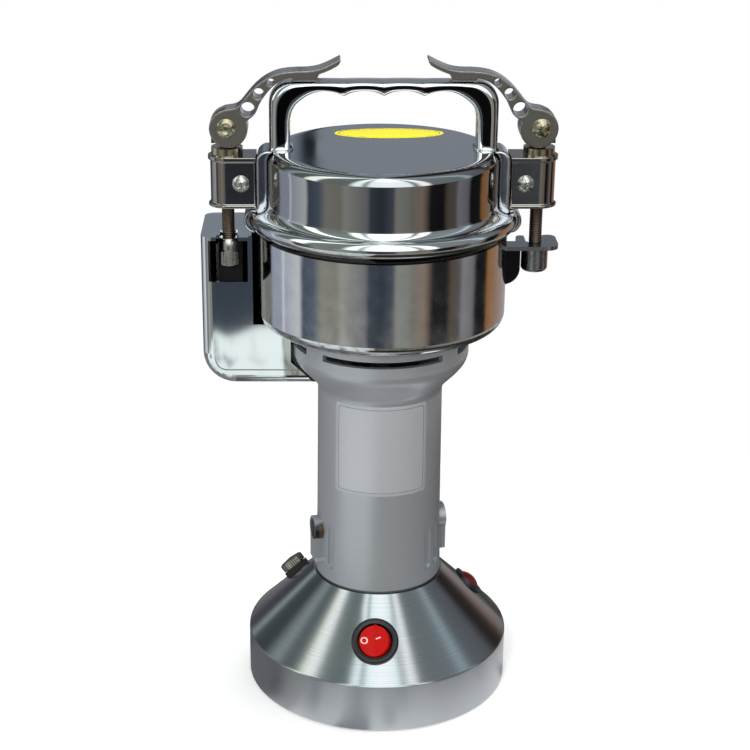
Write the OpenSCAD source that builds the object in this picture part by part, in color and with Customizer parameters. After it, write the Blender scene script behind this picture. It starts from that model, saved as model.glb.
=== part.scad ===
// Hand-lift grinding mill: clamped lid, steel bowl, motor neck and cone base.
// Millimetres, +Z up, front towards -Y, origin at the centre of the foot pad.

/* [Base] */
// Radius of the base skirt
base_r = 58; // [54:0.5:64]
// Height of the skirt's lower edge above the table
skirt_lift = 1; // [0.5:0.5:2]
// Height where the skirt meets the cone
skirt_top = 22.2; // [18:0.2:28]
// Height where the cone ends under the neck
cone_top = 51; // [46:0.5:56]
// Sheet thickness of the spun base
base_wall = 1.5; // [1:0.1:2.5]
// Thickness of the rubber foot pad
pad_h = 2; // [1.5:0.5:4]

/* [Motor housing] */
// Radius of the neck at its foot
neck_foot_r = 27.9; // [26.5:0.1:30]
// Radius of the neck at its top
neck_r = 26.8; // [26:0.1:29]
// Bore of the neck
neck_bore_r = 24.6; // [23.8:0.1:25.2]
// Radius of the rim under the bowl
rim_r = 37.7; // [35:0.1:42]
// Height where the flare starts
flare_z0 = 140; // [134:0.5:144]
// Height where the flare meets the rim
flare_z1 = 155; // [150:0.5:158]
// Height of the rim's top face
rim_top = 165.3; // [163.5:0.1:168]
// Height of the cooling slots
slot_h = 2.8; // [1.5:0.1:4]
// Half angle of the posts between the slots
post_half = 7.8; // [5:0.1:12]
// Depth of the flutes at the neck's foot
flute_depth = 1; // [0.5:0.1:1.5]
// Width of a flute
flute_w = 4.3; // [3:0.1:5]

/* [Motor] */
// Shaft radius
shaft_r = 4; // [3:0.1:5]
// Radius of the armature stack
armature_r = 13.8; // [12:0.1:14]
// Length of the laminated stacks
stack_h = 36; // [30:0.5:40]
// Radius of the commutator
commutator_r = 9; // [8:0.1:10]
// Outer radius of the ball bearings
bearing_r = 11; // [9.5:0.1:12]
// Width of the ball bearings
bearing_w = 7; // [5:0.5:8]
// Number of fan blades
fan_blades = 11; // [7:1:15]

/* [Bowl] */
// Outer radius of the bowl
bowl_r = 52.2; // [51:0.1:53]
// Wall of the bowl
bowl_wall = 1.6; // [1.2:0.1:2]
// Underside of the bowl
bowl_z0 = 169; // [168:0.1:170]
// Top edge of the bowl
bowl_top = 208.5; // [206:0.1:209]
// Radius of the bowl's lower corner
bowl_corner = 5; // [3:0.5:8]
// Length of the lower blade from tip to tip
blade_span = 84; // [70:1:90]
// Width of the blades at the hub
blade_w = 13; // [12:0.5:18]
// Blade thickness
blade_t = 1.8; // [1.2:0.1:2.5]

/* [Lid] */
// Step between the bowl's side and the lid's wall
lid_step = 4.2; // [3.6:0.1:5]
// Height of the lid's flat top
lid_top = 242.8; // [240:0.1:246]
// Sheet thickness of the lid
lid_wall = 1.5; // [1:0.1:2]
// Radius of the rolled bead
bead_r = 3.7; // [3:0.1:4]
// Radius of the lid's upper corner
lid_corner = 3.4; // [2:0.1:5]
// Gap between the lid and the bowl's edge
lid_gap = 0.3; // [0.2:0.05:0.5]

/* [Handle] */
// Distance of the handle's sides in from the lid's wall
handle_inset = 1.3; // [0.8:0.1:4]
// Height of the handle's top face
handle_top = 270.7; // [266:0.1:271]
// Width of a handle leg
leg_w = 8.5; // [7:0.1:10]
// Depth of the handle, front to back
handle_d = 12; // [9:0.5:13]
// Outer corner radius of the handle
handle_corner = 9; // [7:0.5:12]
// Distance between finger ridges
finger_pitch = 16.1; // [14:0.1:17]
// Height of the finger ridges
finger_h = 2.2; // [1.5:0.1:3]

/* [Clamps] */
// Room between the bowl's side and the middle of a clamp rod
rod_gap = 12; // [11.6:0.1:12.8]
// Radius of a clamp rod
rod_r = 2.5; // [2:0.1:2.7]
// Height of the cam pin
pin_z = 252; // [251.8:0.1:253]
// Radius of the cam pin
pin_r = 2; // [1.5:0.1:2.5]
// Radius of the cam
cam_r = 7.9; // [7.5:0.1:8.1]
// Offset of the cam from its pin
cam_offset = 1; // [0.6:0.1:1.2]
// Width of a lever
lever_w = 10.6; // [9.6:0.2:12]
// Thickness of the rod's eye
eye_t = 5; // [4:0.1:5.4]
// Half depth of a clamp sleeve
sleeve_r = 7; // [6.6:0.1:8]
// Sheet thickness of a sleeve
sleeve_wall = 1.2; // [1:0.1:1.6]
// Underside of the sleeves
sleeve_z0 = 218.9; // [218.5:0.1:220]
// Top face of the sleeves
sleeve_z1 = 240.3; // [239.5:0.1:240.6]
// Height of the sleeve screws
screw_z = 229.3; // [226:0.1:233]
// Distance between a clamp rod and its sleeve's screw
screw_gap = 5.8; // [5.4:0.1:6.8]
// Running clearance round a pin or shaft
run_gap = 0.05; // [0.02:0.01:0.08]
// Clearance between moving parts
free_gap = 0.3; // [0.2:0.05:0.4]

/* [Lug and interlock cover] */
// Underside of the lug's plate
lug_z = 200.9; // [199:0.1:202]
// Thickness of the lug's plate
lug_t = 1.7; // [1.2:0.1:2.5]
// Radius of the barrel nut
nut_r = 5.6; // [4.5:0.1:5.8]
// Top face of the interlock cover
cover_top = 206.4; // [205:0.1:207]
// Room between the left clamp rod and the side of the interlock cover
cover_gap = 11.6; // [10.5:0.1:14]
// Underside of the interlock cover
cover_z0 = 140.8; // [139:0.1:144]
// Front face of the interlock cover
cover_front = 7; // [6.6:0.1:9]
// Depth of the interlock cover
cover_d = 38; // [34:0.5:44]
// Sheet thickness of the cover
cover_wall = 1.5; // [1:0.1:2]
// Radius of the cover's rounded edges
cover_edge = 4.5; // [3:0.1:6]
// Radius of the cover's lower corner
cover_corner = 14; // [10:0.5:18]
// Thickness of the rubber edge between cover and motor housing
rubber_t = 1.3; // [0.8:0.1:2]

/* [Controls] */
// Distance of the switch and the button in from the base's edge
control_in = 14.3; // [12:0.1:18]
// Bearing of the power switch round the base
switch_az = -93; // [-100:0.5:-80]
// Radius of the power switch's bezel
switch_r = 10.2; // [9:0.1:11]
// Radius of the rocker
rocker_r = 7.2; // [6.5:0.1:7.6]
// Tilt of the rocker to each side
rocker_tilt = 7; // [5:0.5:9]
// Bearing of the fuse holder round the base
fuse_az = 152; // [140:1:165]
// Distance of the fuse holder in from the base's edge
fuse_in = 16.8; // [13:0.1:18]
// Radius of the fuse cap
fuse_r = 5.8; // [5:0.1:6.5]
// Bearing of the reset button round the base
reset_az = 16; // [8:1:28]
// Radius of the reset button
reset_r = 5.2; // [4.5:0.1:6]
// Bore of the cord gland
gland_bore_r = 3.5; // [2.5:0.1:4]

/* [Hidden] */
$fn = 96;
seat = 0.1;
far = 200;

// Places that follow the bowl and the base
lid_r = bowl_r - lid_step;
handle_w = 2 * (lid_r - handle_inset);
rod_x = bowl_r + rod_gap;
screw_x = rod_x - screw_gap;
cover_x = rod_x + cover_gap;
control_r = base_r - control_in;
fuse_at = base_r - fuse_in;

// Cone of the base
cone_foot_r = base_r;
cone_head_r = neck_foot_r + 0.8;
cone_dr = cone_foot_r - cone_head_r;
cone_dz = cone_top - skirt_top;
cone_tilt = atan2(cone_dz, cone_dr);
function cone_z(r) = skirt_top + (cone_foot_r - r) * cone_dz / cone_dr;
flat_cut = 0.5;

// Points on an arc about c, from angle a0 to a1
function arc(c, r, a0, a1, n = 8) =
    [for (i = [0:n]) let(a = a0 + (a1 - a0) * i / n) [c[0] + r * cos(a), c[1] + r * sin(a)]];

// Point at t on a smooth curve through the points p (Catmull-Rom)
function knot(p, i) = p[max(0, min(len(p) - 1, i))];
function spline_at(p, i, t) =
    0.5 * (2 * knot(p, i) + (knot(p, i + 1) - knot(p, i - 1)) * t
    + (2 * knot(p, i - 1) - 5 * knot(p, i) + 4 * knot(p, i + 1) - knot(p, i + 2)) * t * t
    + (3 * knot(p, i) - knot(p, i - 1) - 3 * knot(p, i + 1) + knot(p, i + 2)) * t * t * t);
function spline(p, n = 3) =
    concat([for (i = [0:len(p) - 2]) for (k = [0:n - 1]) spline_at(p, i, k / n)], [p[len(p) - 1]]);

// Stands the children on the base cone, their Z along its outward normal
module on_cone(az, r = control_r) {
    rotate([0, 0, az])
        translate([r, 0, cone_z(r)])
            rotate([0, cone_tilt, 0])
                children();
}

// Lays a cylinder along Y, from y0 to y1
module along_y(r, y0, y1) {
    translate([0, y0, 0])
        rotate([-90, 0, 0])
            cylinder(r = r, h = y1 - y0);
}

// Lays a cylinder along X, from x0 to x1
module along_x(r, x0, x1) {
    translate([x0, 0, 0])
        rotate([0, 90, 0])
            cylinder(r = r, h = x1 - x0);
}

// Outline drawn in X and Z, given a width along Y about y = 0
module extruded_xz(width) {
    translate([0, width / 2, 0])
        rotate([90, 0, 0])
            linear_extrude(width)
                children();
}

// Ring standing on z0
module ring(r_out, r_in, z0, h) {
    translate([0, 0, z0])
        difference() {
            cylinder(r = r_out, h = h);
            translate([0, 0, -1])
                cylinder(r = r_in, h = h + 2);
        }
}

// Base: spun aluminium cone and skirt
plate_z = pad_h;
plate_t = 1.5;
base_corner = 1.2;
module base_shell() {
    color("silver")
        difference() {
            rotate_extrude()
                polygon(concat(
                    [[base_r - base_wall, skirt_lift], [base_r, skirt_lift]],
                    arc([base_r - base_corner, skirt_top - base_corner * tan(45 - cone_tilt / 2)],
                        base_corner, 0, 90 - cone_tilt, 3),
                    [[cone_head_r, cone_top], [neck_bore_r - 4, cone_top],
                    [neck_bore_r - 4, cone_top - base_wall], [cone_head_r - 0.8, cone_top - base_wall],
                    [base_r - base_wall, skirt_top - base_wall]]));
            on_cone(switch_az) {
                translate([0, 0, -6])
                    cylinder(r = switch_r - 1 + seat, h = 12);
                translate([0, 0, -flat_cut])
                    cylinder(r = switch_r + 0.2, h = 6);
            }
            on_cone(fuse_az, fuse_at) {
                translate([0, 0, -6])
                    cylinder(r = fuse_r - 1 + seat, h = 12);
                translate([0, 0, -flat_cut])
                    cylinder(r = fuse_r + 1, h = 6);
            }
            on_cone(reset_az) {
                translate([0, 0, -6])
                    cylinder(r = reset_r + 0.6 + seat, h = 12);
                translate([0, 0, -flat_cut])
                    cylinder(r = reset_r + 2.4, h = 6);
            }
            translate([0, 0, gland_z])
                rotate([0, 0, 90])
                    along_x(gland_r, base_r - 4, base_r + 4);
            for (a = [0:90:270])
                rotate([0, 0, a])
                    translate([neck_screw_r, 0, cone_top - 4])
                        cylinder(r = 1.6, h = 8);
        }
}
neck_screw_r = 22.6;

// Anti-slip pad under the base
pad_r = base_r - base_wall - 0.4;
base_screw_r = base_r - 12;
module foot_pad() {
    color("#202020")
        difference() {
            cylinder(r = pad_r, h = pad_h);
            for (a = [45:90:315])
                rotate([0, 0, a])
                    translate([base_screw_r, 0, -1])
                        cylinder(r = 4.2, h = pad_h + 2);
        }
}

// Steel plate that closes the base
module bottom_plate() {
    color("#8a8c8e")
        difference() {
            union() {
                translate([0, 0, plate_z])
                    cylinder(r = pad_r, h = plate_t);
                for (a = [45:90:315])
                    rotate([0, 0, a])
                        translate([base_screw_r, 0, plate_z])
                            cylinder(r = 4, h = 9);
            }
            for (a = [45:90:315])
                rotate([0, 0, a])
                    translate([base_screw_r, 0, plate_z - 1])
                        cylinder(r = 1.7, h = 12);
        }
}

// Pan-head screws under the base
module base_screws() {
    color("#b8b8b8")
        for (a = [45:90:315])
            rotate([0, 0, a])
                translate([base_screw_r, 0, plate_z - 1.6]) {
                    cylinder(r = 3.2, h = 1.6);
                    cylinder(r = 1.6, h = 9);
                }
}

// Gland for the mains lead, at the back of the skirt
gland_z = 12;
gland_r = 6.2;
module cord_gland() {
    color("#181818")
        translate([0, 0, gland_z])
            rotate([0, 0, 90])
                difference() {
                    union() {
                        along_x(gland_r - seat, base_r - 8, base_r + 3);
                        along_x(gland_r + 1.4, base_r + 0.2, base_r + 2.4);
                        along_x(gland_r + 1.6, base_r - 7, base_r - base_wall - 1);
                    }
                    along_x(gland_bore_r, base_r - 10, base_r + 5);
                }
}

// Terminal block on the bottom plate
module terminal_block() {
    color("#d8d4c4")
        translate([-16, 14, plate_z + plate_t])
            difference() {
                cube([32, 14, 11]);
                for (i = [0:3])
                    translate([4 + 8 * i, -1, 5])
                        rotate([-90, 0, 0])
                            cylinder(r = 1.8, h = 16);
            }
}

// Black ring between cone and neck
gasket_h = 1;
neck_z0 = cone_top + gasket_h;
module neck_gasket() {
    color("#141414")
        ring(neck_foot_r - 0.6, neck_bore_r - 3.8, cone_top, gasket_h);
}

// Motor housing: cast neck with flare, slotted rim, flutes and brush bosses
slot_z = rim_top - 3 - slot_h;
rim_wall = 2.3;
brush_z = 72.5;
brush_az = 14.5;
boss_r = 5.9;
boss_x = neck_foot_r + 2.2;
holder_r = 4.8;
flute_z0 = 58;
flute_z1 = 78;
post_az = 41;
flare_outer = [[neck_r, flare_z0 - 2], [neck_r + 0.7, flare_z0 + 0.8],
    [neck_r + 0.26 * (rim_r - neck_r), flare_z0 + 0.24 * (flare_z1 - flare_z0)],
    [neck_r + 0.5 * (rim_r - neck_r), flare_z0 + 0.42 * (flare_z1 - flare_z0)],
    [neck_r + 0.75 * (rim_r - neck_r), flare_z0 + 0.62 * (flare_z1 - flare_z0)],
    [neck_r + 0.92 * (rim_r - neck_r), flare_z0 + 0.8 * (flare_z1 - flare_z0)],
    [rim_r - 0.1, flare_z1 - 0.6]];
module housing_profile(grow = 0) {
    polygon(concat(
        [[0, neck_z0], [neck_foot_r + grow, neck_z0], [neck_r + 0.4 + grow, neck_z0 + 26]],
        [for (p = spline(flare_outer)) [p[0] + grow, p[1] - grow * 0.4]],
        [[rim_r + grow, flare_z1 - grow * 0.2], [rim_r + grow, rim_top], [0, rim_top]]));
}
module slot_sector(half, turn) {
    rotate([0, 0, turn - half])
        rotate_extrude(angle = 2 * half)
            translate([rim_r - rim_wall - 2, slot_z])
                square([rim_wall + 6, slot_h]);
}
module motor_housing() {
    color("#9ca0a4")
        difference() {
            union() {
                rotate_extrude()
                    housing_profile();
                for (side = [0, 180])
                    rotate([0, 0, brush_az + side]) {
                        translate([0, 0, brush_z])
                            along_x(boss_r, neck_bore_r + 1, boss_x);
                        translate([neck_bore_r + 1, -boss_r + 1.2, flute_z0])
                            cube([boss_x - neck_bore_r - 1, 2 * boss_r - 2.4, brush_z - flute_z0]);
                    }
            }
            translate([0, 0, neck_z0 + 2])
                cylinder(r = neck_bore_r, h = flare_z0 - neck_z0 - 3);
            translate([0, 0, neck_z0 - 1])
                cylinder(r = neck_bore_r - 4, h = 5);
            translate([0, 0, flare_z0 - 1.01])
                cylinder(r1 = neck_bore_r, r2 = rim_r - rim_wall, h = flare_z1 - flare_z0 + 1.02);
            translate([0, 0, flare_z1])
                cylinder(r = rim_r - rim_wall, h = rim_top - flare_z1 + 1);
            for (turn = [-90, 90])
                slot_sector(90 - post_az - post_half, turn);
            for (turn = [0, 180])
                slot_sector(post_az - post_half, turn);
            for (front = [-90, 90])
                for (a = [-64, -50, 50, 64])
                    rotate([0, 0, front + a]) {
                        translate([neck_r + 0.9 - flute_depth, -flute_w / 2, flute_z0 + flute_w / 2])
                            cube([6, flute_w, flute_z1 - flute_z0 - flute_w]);
                        for (z = [flute_z0 + flute_w / 2, flute_z1 - flute_w / 2])
                            translate([0, 0, z])
                                along_x(flute_w / 2, neck_r + 0.9 - flute_depth, neck_r + 6);
                    }
            rotate([0, 0, brush_az])
                translate([0, 0, brush_z])
                    along_x(holder_r + seat, -boss_x - 1, boss_x + 1);
            for (a = [0:90:270])
                rotate([0, 0, a])
                    translate([neck_screw_r, 0, neck_z0 - 1])
                        cylinder(r = 1.2, h = 2.8);
        }
}

// Bridge that carries the lower bearing
bridge_z = neck_z0 + 2;
lower_bearing_z = bridge_z + 3.5;
module bearing_bridge() {
    color("#b0b2b4")
        difference() {
            union() {
                translate([0, 0, bridge_z])
                    cylinder(r = neck_bore_r - seat, h = 3.5);
                translate([0, 0, bridge_z])
                    cylinder(r = bearing_r + 2.2, h = 3.5 + bearing_w);
            }
            translate([0, 0, lower_bearing_z])
                cylinder(r = bearing_r, h = far);
            translate([0, 0, bridge_z - 1])
                cylinder(r = shaft_r + 1.5, h = far);
            for (a = [45:90:315])
                rotate([0, 0, a])
                    translate([18.5, 0, bridge_z - 1])
                        cylinder(r = 3.2, h = far);
        }
}
module ball_bearing(z) {
    color("#c4c6c8")
        translate([0, 0, z])
            difference() {
                cylinder(r = bearing_r, h = bearing_w);
                translate([0, 0, -1])
                    cylinder(r = shaft_r + run_gap, h = bearing_w + 2);
                for (top = [-0.01, bearing_w - 0.6])
                    translate([0, 0, top])
                        difference() {
                            cylinder(r = bearing_r - 2.2, h = 0.61);
                            cylinder(r = shaft_r + 2.2, h = 0.61);
                        }
            }
}
module lower_bearing() {
    ball_bearing(lower_bearing_z);
}

// Stator stack with two pole windows each side, and its two saddle coils
stack_z = 92;
stator_gap = 0.5;
window_x = 15;
window_w = 4.5;
window_y = [7.3, 12.4];
module stator_core() {
    color("#6c7074")
        translate([0, 0, stack_z])
            difference() {
                cylinder(r = neck_bore_r - seat, h = stack_h);
                translate([0, 0, -1])
                    cylinder(r = armature_r + stator_gap, h = stack_h + 2);
                for (sx = [0, 180])
                    rotate([0, 0, sx])
                        for (sy = [-1, 1])
                            translate([window_x, sy > 0 ? window_y[0] : -window_y[1], -1])
                                cube([window_w, window_y[1] - window_y[0], stack_h + 2]);
            }
}
module field_coils() {
    end_h = 5;
    color("#b06a30")
        for (sx = [0, 180])
            rotate([0, 0, sx])
                translate([window_x + seat, 0, 0])
                    difference() {
                        translate([0, -window_y[1] + seat, stack_z - end_h])
                            cube([window_w - 2 * seat, 2 * (window_y[1] - seat), stack_h + 2 * end_h]);
                        translate([-1, -window_y[0] - seat, stack_z - seat])
                            cube([window_w + 2, 2 * (window_y[0] + seat), stack_h + 2 * seat]);
                    }
}

// Brush gear: insulated holders, carbon brushes and screw caps
brush_w = 5;
brush_h = 6;
module brush_holders() {
    color("#3a2a1c")
        for (side = [0, 180])
            rotate([0, 0, brush_az + side])
                translate([0, 0, brush_z])
                    difference() {
                        along_x(holder_r, commutator_r + 2.5, boss_x - 1.8);
                        translate([0, -brush_w / 2 - seat, -brush_h / 2 - seat])
                            cube([far, brush_w + 2 * seat, brush_h + 2 * seat]);
                    }
}
module carbon_brushes() {
    color("#303032")
        for (side = [0, 180])
            rotate([0, 0, brush_az + side])
                translate([commutator_r + free_gap, -brush_w / 2, brush_z - brush_h / 2])
                    cube([12, brush_w, brush_h]);
}
module brush_caps() {
    color("#101010")
        for (side = [0, 180])
            rotate([0, 0, brush_az + side])
                translate([0, 0, brush_z])
                    difference() {
                        union() {
                            along_x(holder_r, boss_x - 1.8, boss_x - 0.1);
                            along_x(brush_w / 2 - 0.3, commutator_r + free_gap + 12, boss_x - 1);
                        }
                        translate([boss_x - 0.9, -0.5, -4])
                            cube([3, 1, 8]);
                    }
}

// Casting that carries the upper bearing and the bowl
carrier_hub_r = bearing_r + 2.5;
upper_bearing_z = rim_top - 14;
module upper_bearing() {
    ball_bearing(upper_bearing_z);
}
carrier_foot = rim_top - 2.6;
bowl_screw_r = 26;
module bowl_carrier() {
    color("#c8cacc")
        difference() {
            union() {
                translate([0, 0, rim_top])
                    cylinder(r = rim_r - 0.3, h = bowl_z0 - rim_top);
                translate([0, 0, carrier_foot])
                    cylinder(r = rim_r - rim_wall - seat, h = rim_top - carrier_foot);
                translate([0, 0, upper_bearing_z])
                    cylinder(r = carrier_hub_r, h = rim_top - upper_bearing_z);
            }
            translate([0, 0, upper_bearing_z - 1])
                cylinder(r = bearing_r, h = bearing_w + 1);
            translate([0, 0, upper_bearing_z])
                cylinder(r = shaft_r + 1.5, h = far);
            for (a = [0:90:270])
                rotate([0, 0, a])
                    translate([bowl_screw_r, 0, bowl_z0 - 5])
                        cylinder(r = 2.1, h = 8);
        }
}

// Deep-drawn steel bowl
bowl_floor = 2.4;
module bowl_profile(inset, z0, top) {
    r = bowl_r - inset;
    c = bowl_corner - inset * 0.6;
    polygon(concat([[0, z0]], arc([r - c, z0 + c], c, -90, 0, 8), [[r, top], [0, top]]));
}
module bowl() {
    color("#c0c4c8")
        difference() {
            rotate_extrude()
                bowl_profile(0, bowl_z0, bowl_top);
            rotate_extrude()
                bowl_profile(bowl_wall, bowl_z0 + bowl_floor, bowl_top + 1);
            translate([0, 0, bowl_z0 - 1])
                cylinder(r = seal_r + seat, h = 8);
            for (a = [0:90:270])
                rotate([0, 0, a])
                    translate([bowl_screw_r, 0, bowl_z0 - 1])
                        cylinder(r = 2.2, h = 8);
        }
}
module bowl_screws() {
    color("#d0d0d0")
        for (a = [0:90:270])
            rotate([0, 0, a])
                translate([bowl_screw_r, 0, bowl_z0 - 4.5]) {
                    cylinder(r = 2, h = 5 + bowl_floor);
                    translate([0, 0, 4.5 + bowl_floor])
                        cylinder(r1 = 3.6, r2 = 2.4, h = 1.4);
                }
}
seal_r = 9;
module shaft_seal() {
    color("#e8e6dc")
        difference() {
            union() {
                translate([0, 0, bowl_z0])
                    cylinder(r = seal_r, h = bowl_floor + 0.6);
                translate([0, 0, bowl_z0 + bowl_floor])
                    cylinder(r = seal_r + 1.6, h = 0.9);
            }
            translate([0, 0, bowl_z0 - 1])
                cylinder(r = shaft_r + run_gap, h = 8);
        }
}

// Forked lug welded to the right of the bowl: the rod swings into it from the back
slot_half = rod_r + 0.5;
// how far the rod's round path leaves a straight slot before the rod is clear of it
slot_sag = rod_x * (1 - cos(9));
lug_reach = rod_x + 9.4;
lug_front = 8;
lug_back = 10;
lobe_r = 2.2;
module lug_plate() {
    outer_lobe = (lug_reach - rod_x - slot_half) / 2;
    inner_lobe = lobe_r;
    union() {
        translate([bowl_r - 4, -lug_front, 0])
            cube([lug_reach - bowl_r + 4 - 5, 2 * lug_front - 2, lug_t]);
        translate([bowl_r - 4, -lug_front + 5, 0])
            cube([lug_reach - bowl_r + 4, lug_back + lug_front - 5 - outer_lobe, lug_t]);
        translate([lug_reach - 5, -lug_front + 5, 0])
            cylinder(r = 5, h = lug_t);
        translate([rod_x + slot_half + outer_lobe, lug_back - outer_lobe, 0])
            cylinder(r = outer_lobe, h = lug_t);
        translate([rod_x - slot_half - inner_lobe, lug_back - outer_lobe, 0])
            cylinder(r = inner_lobe, h = lug_t);
    }
}
module lug() {
    gusset_x = rod_x - nut_r - 0.9;
    gusset_h = 15.5;
    color("#5a5c60")
        difference() {
            union() {
                translate([0, 0, lug_z])
                    lug_plate();
                translate([bowl_r - 3, -5.5, lug_z - gusset_h + 7])
                    cube([gusset_x - bowl_r + 3, 11, gusset_h - 7 + 0.1]);
                translate([gusset_x - 7, 0, lug_z - gusset_h + 7])
                    along_y(7, -5.5, 5.5);
            }
            translate([0, 0, lug_z - 30])
                cylinder(r = bowl_r, h = 40);
            translate([rod_x - slot_half - slot_sag, 0, lug_z - 1])
                cube([2 * slot_half + slot_sag, far, 4]);
            translate([rod_x, 0, lug_z - 1])
                cylinder(r = slot_half, h = 4);
            translate([bowl_r, lug_back - 2 * lobe_r - 5, lug_z - 1])
                cube([rod_x - slot_half - 2 * lobe_r - bowl_r, far, 4]);
        }
}

// Interlock cover: chrome box on the left that takes the left nut and hides the safety switch
cover_back = cover_d - cover_front;
cover_right = bowl_r + 2.4;
window_top = cover_top - cover_wall;
window_left = cover_x - 3.2;
window_right = cover_right + 1.5;
window_z0 = 187;
nut_left_r = 4.2;
// the notch is narrower than the nut, which pulls up on both its sides
notch_half = nut_left_r - 0.6;
notch_back = nut_left_r;
recess = 0.7;
cover_panel_top = bowl_z0 - 1.2;
module cover_blank(inset = 0) {
    edge = cover_edge - inset * 0.9;
    bend = cover_corner - cover_edge;
    hull()
        for (y = [-cover_front + cover_edge, cover_back - cover_edge])
            translate([0, y, 0]) {
                translate([-cover_x + cover_corner, 0, cover_z0 + cover_corner])
                    rotate([90, 0, 180])
                        rotate_extrude(angle = -90, $fn = 32)
                            translate([bend, 0])
                                circle(r = edge, $fn = 32);
                translate([-cover_x + cover_edge, 0, cover_top])
                    cylinder(r = edge, h = 5, $fn = 32);
                translate([-rim_r + 18, 0, cover_z0 + cover_edge])
                    sphere(r = edge, $fn = 32);
                translate([-rim_r + 18, 0, cover_top])
                    cylinder(r = edge, h = 5, $fn = 32);
            }
}
module cover_outline() {
    rotate([90, 0, 0])
        translate([0, 0, -cover_back - 5])
            linear_extrude(cover_d + 10)
                polygon([[-cover_x - 5, cover_top], [-rim_r - 0.7, cover_top],
                    [-rim_r - 0.7, flare_z1 - 4], [-neck_r - 0.4, cover_z0 - 0.2],
                    [-neck_r - 0.4, cover_z0 - 5], [-cover_x - 5, cover_z0 - 5]]);
}
// the front panel lies a little below the rounded edge round it
module panel_recess() {
    bottom = cover_z0 + 6.5;
    left = -cover_x + 5.2;
    translate([0, recess - cover_front, 0])
        rotate([90, 0, 0])
            linear_extrude(10)
                polygon(concat(arc([left + 5, bottom + 5], 5, 180, 270, 6),
                    [[-neck_r - 9, bottom], [-rim_r - 2.5, flare_z1 - 4.5], [-rim_r - 2.5, cover_panel_top],
                    [left, cover_panel_top]]));
}
module interlock_cover() {
    color("#d4d8dc")
        difference() {
            intersection() {
                cover_blank();
                cover_outline();
            }
            intersection() {
                cover_blank(cover_wall);
                translate([-far / 2, -far / 2, -far])
                    cube([far, far, far + window_top]);
            }
            rotate_extrude()
                union() {
                    housing_profile(rubber_t);
                    translate([0, bowl_z0 - 1.2])
                        square([cover_right, 60]);
                }
            translate([-window_left, -cover_front - 5, window_z0])
                cube([window_left - window_right, 10, window_top - window_z0]);
            translate([-rod_x - notch_half, -far, window_top - 1])
                cube([2 * notch_half, far + notch_back, 4]);
            translate([-rod_x - notch_half - 1.4, -far, window_top - 1])
                cube([2 * notch_half + 2.2, far - 3.5, 4]);
            panel_recess();
        }
}
module interlock_gasket() {
    front_az = asin((cover_front - 0.1) / (rim_r + rubber_t));
    back_az = asin((cover_back - 1) / (rim_r + rubber_t));
    color("#0c0c0c")
        rotate([0, 0, 180 - back_az])
            rotate_extrude(angle = back_az + front_az)
                intersection() {
                    difference() {
                        housing_profile(rubber_t - seat);
                        housing_profile(seat);
                    }
                    translate([0, cover_z0 + 0.6])
                        square([far, slot_z - cover_z0 - 1.2]);
                }
}

// Safety switch in the cover: the left nut closes it when the lid is turned home
nut_left_top = window_top - free_gap;
switch_y = 9;
plunger_z = 198;
plunger_r = 1.6;
module microswitch() {
    color("#1c1c1e")
        difference() {
            translate([-rod_x - 5, switch_y, plunger_z - 20])
                cube([10, 16, 26]);
            translate([-rod_x, switch_y - 1, plunger_z])
                rotate([-90, 0, 0])
                    cylinder(r = plunger_r + run_gap, h = 6);
        }
}
module switch_bracket() {
    color("#a0a2a4")
        translate([-cover_x + cover_wall + seat, switch_y + 3, plunger_z - 18]) {
            cube([1.2, 11, 20]);
            cube([cover_x - cover_wall - rod_x - 5 - seat, 11, 1.5]);
            translate([cover_x - cover_wall - rod_x - 5 - seat - 1.2, 0, 0])
                cube([1.2, 11, 18]);
        }
}
module microswitch_plunger() {
    color("#c02020")
        translate([-rod_x, 0, plunger_z])
            along_y(plunger_r, nut_left_r + free_gap, switch_y + 3.2);
}

// Power switch
well_r = rocker_r + 0.5;
module switch_bezel() {
    color("#161618")
        on_cone(switch_az)
            difference() {
                rotate_extrude()
                    polygon(concat(
                        [[0, -15], [switch_r - 1.4, -15], [switch_r - 1, -flat_cut]],
                        [[switch_r, -flat_cut], [switch_r, 0.6]],
                        arc([switch_r - 1.4, 0.6], 1.4, 0, 90, 4),
                        [[well_r, 1.6], [0, 1.6]]));
                translate([0, 0, -5])
                    cylinder(r = well_r, h = 10);
                translate([0, 0, -rocker_drop])
                    along_x(1 + run_gap, -well_r - 0.8, well_r + 0.8);
            }
}
rocker_drop = 1.2;
module rocker() {
    color("#c01010")
        on_cone(switch_az)
            translate([0, 0, -rocker_drop])
                rotate([rocker_tilt, 0, 0]) {
                    intersection() {
                        sphere(r = rocker_r);
                        rotate([90, 0, 90])
                            translate([0, 0, -20])
                                linear_extrude(40)
                                    polygon([[-8, 4.2], [-3.5, 2.6], [0, 2.2], [3.5, 2.6], [8, 4.2],
                                        [8, -1.5], [0, -2.6], [-8, -1.5]]);
                    }
                    along_x(1, -well_r - 0.6, well_r + 0.6);
                }
}

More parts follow.
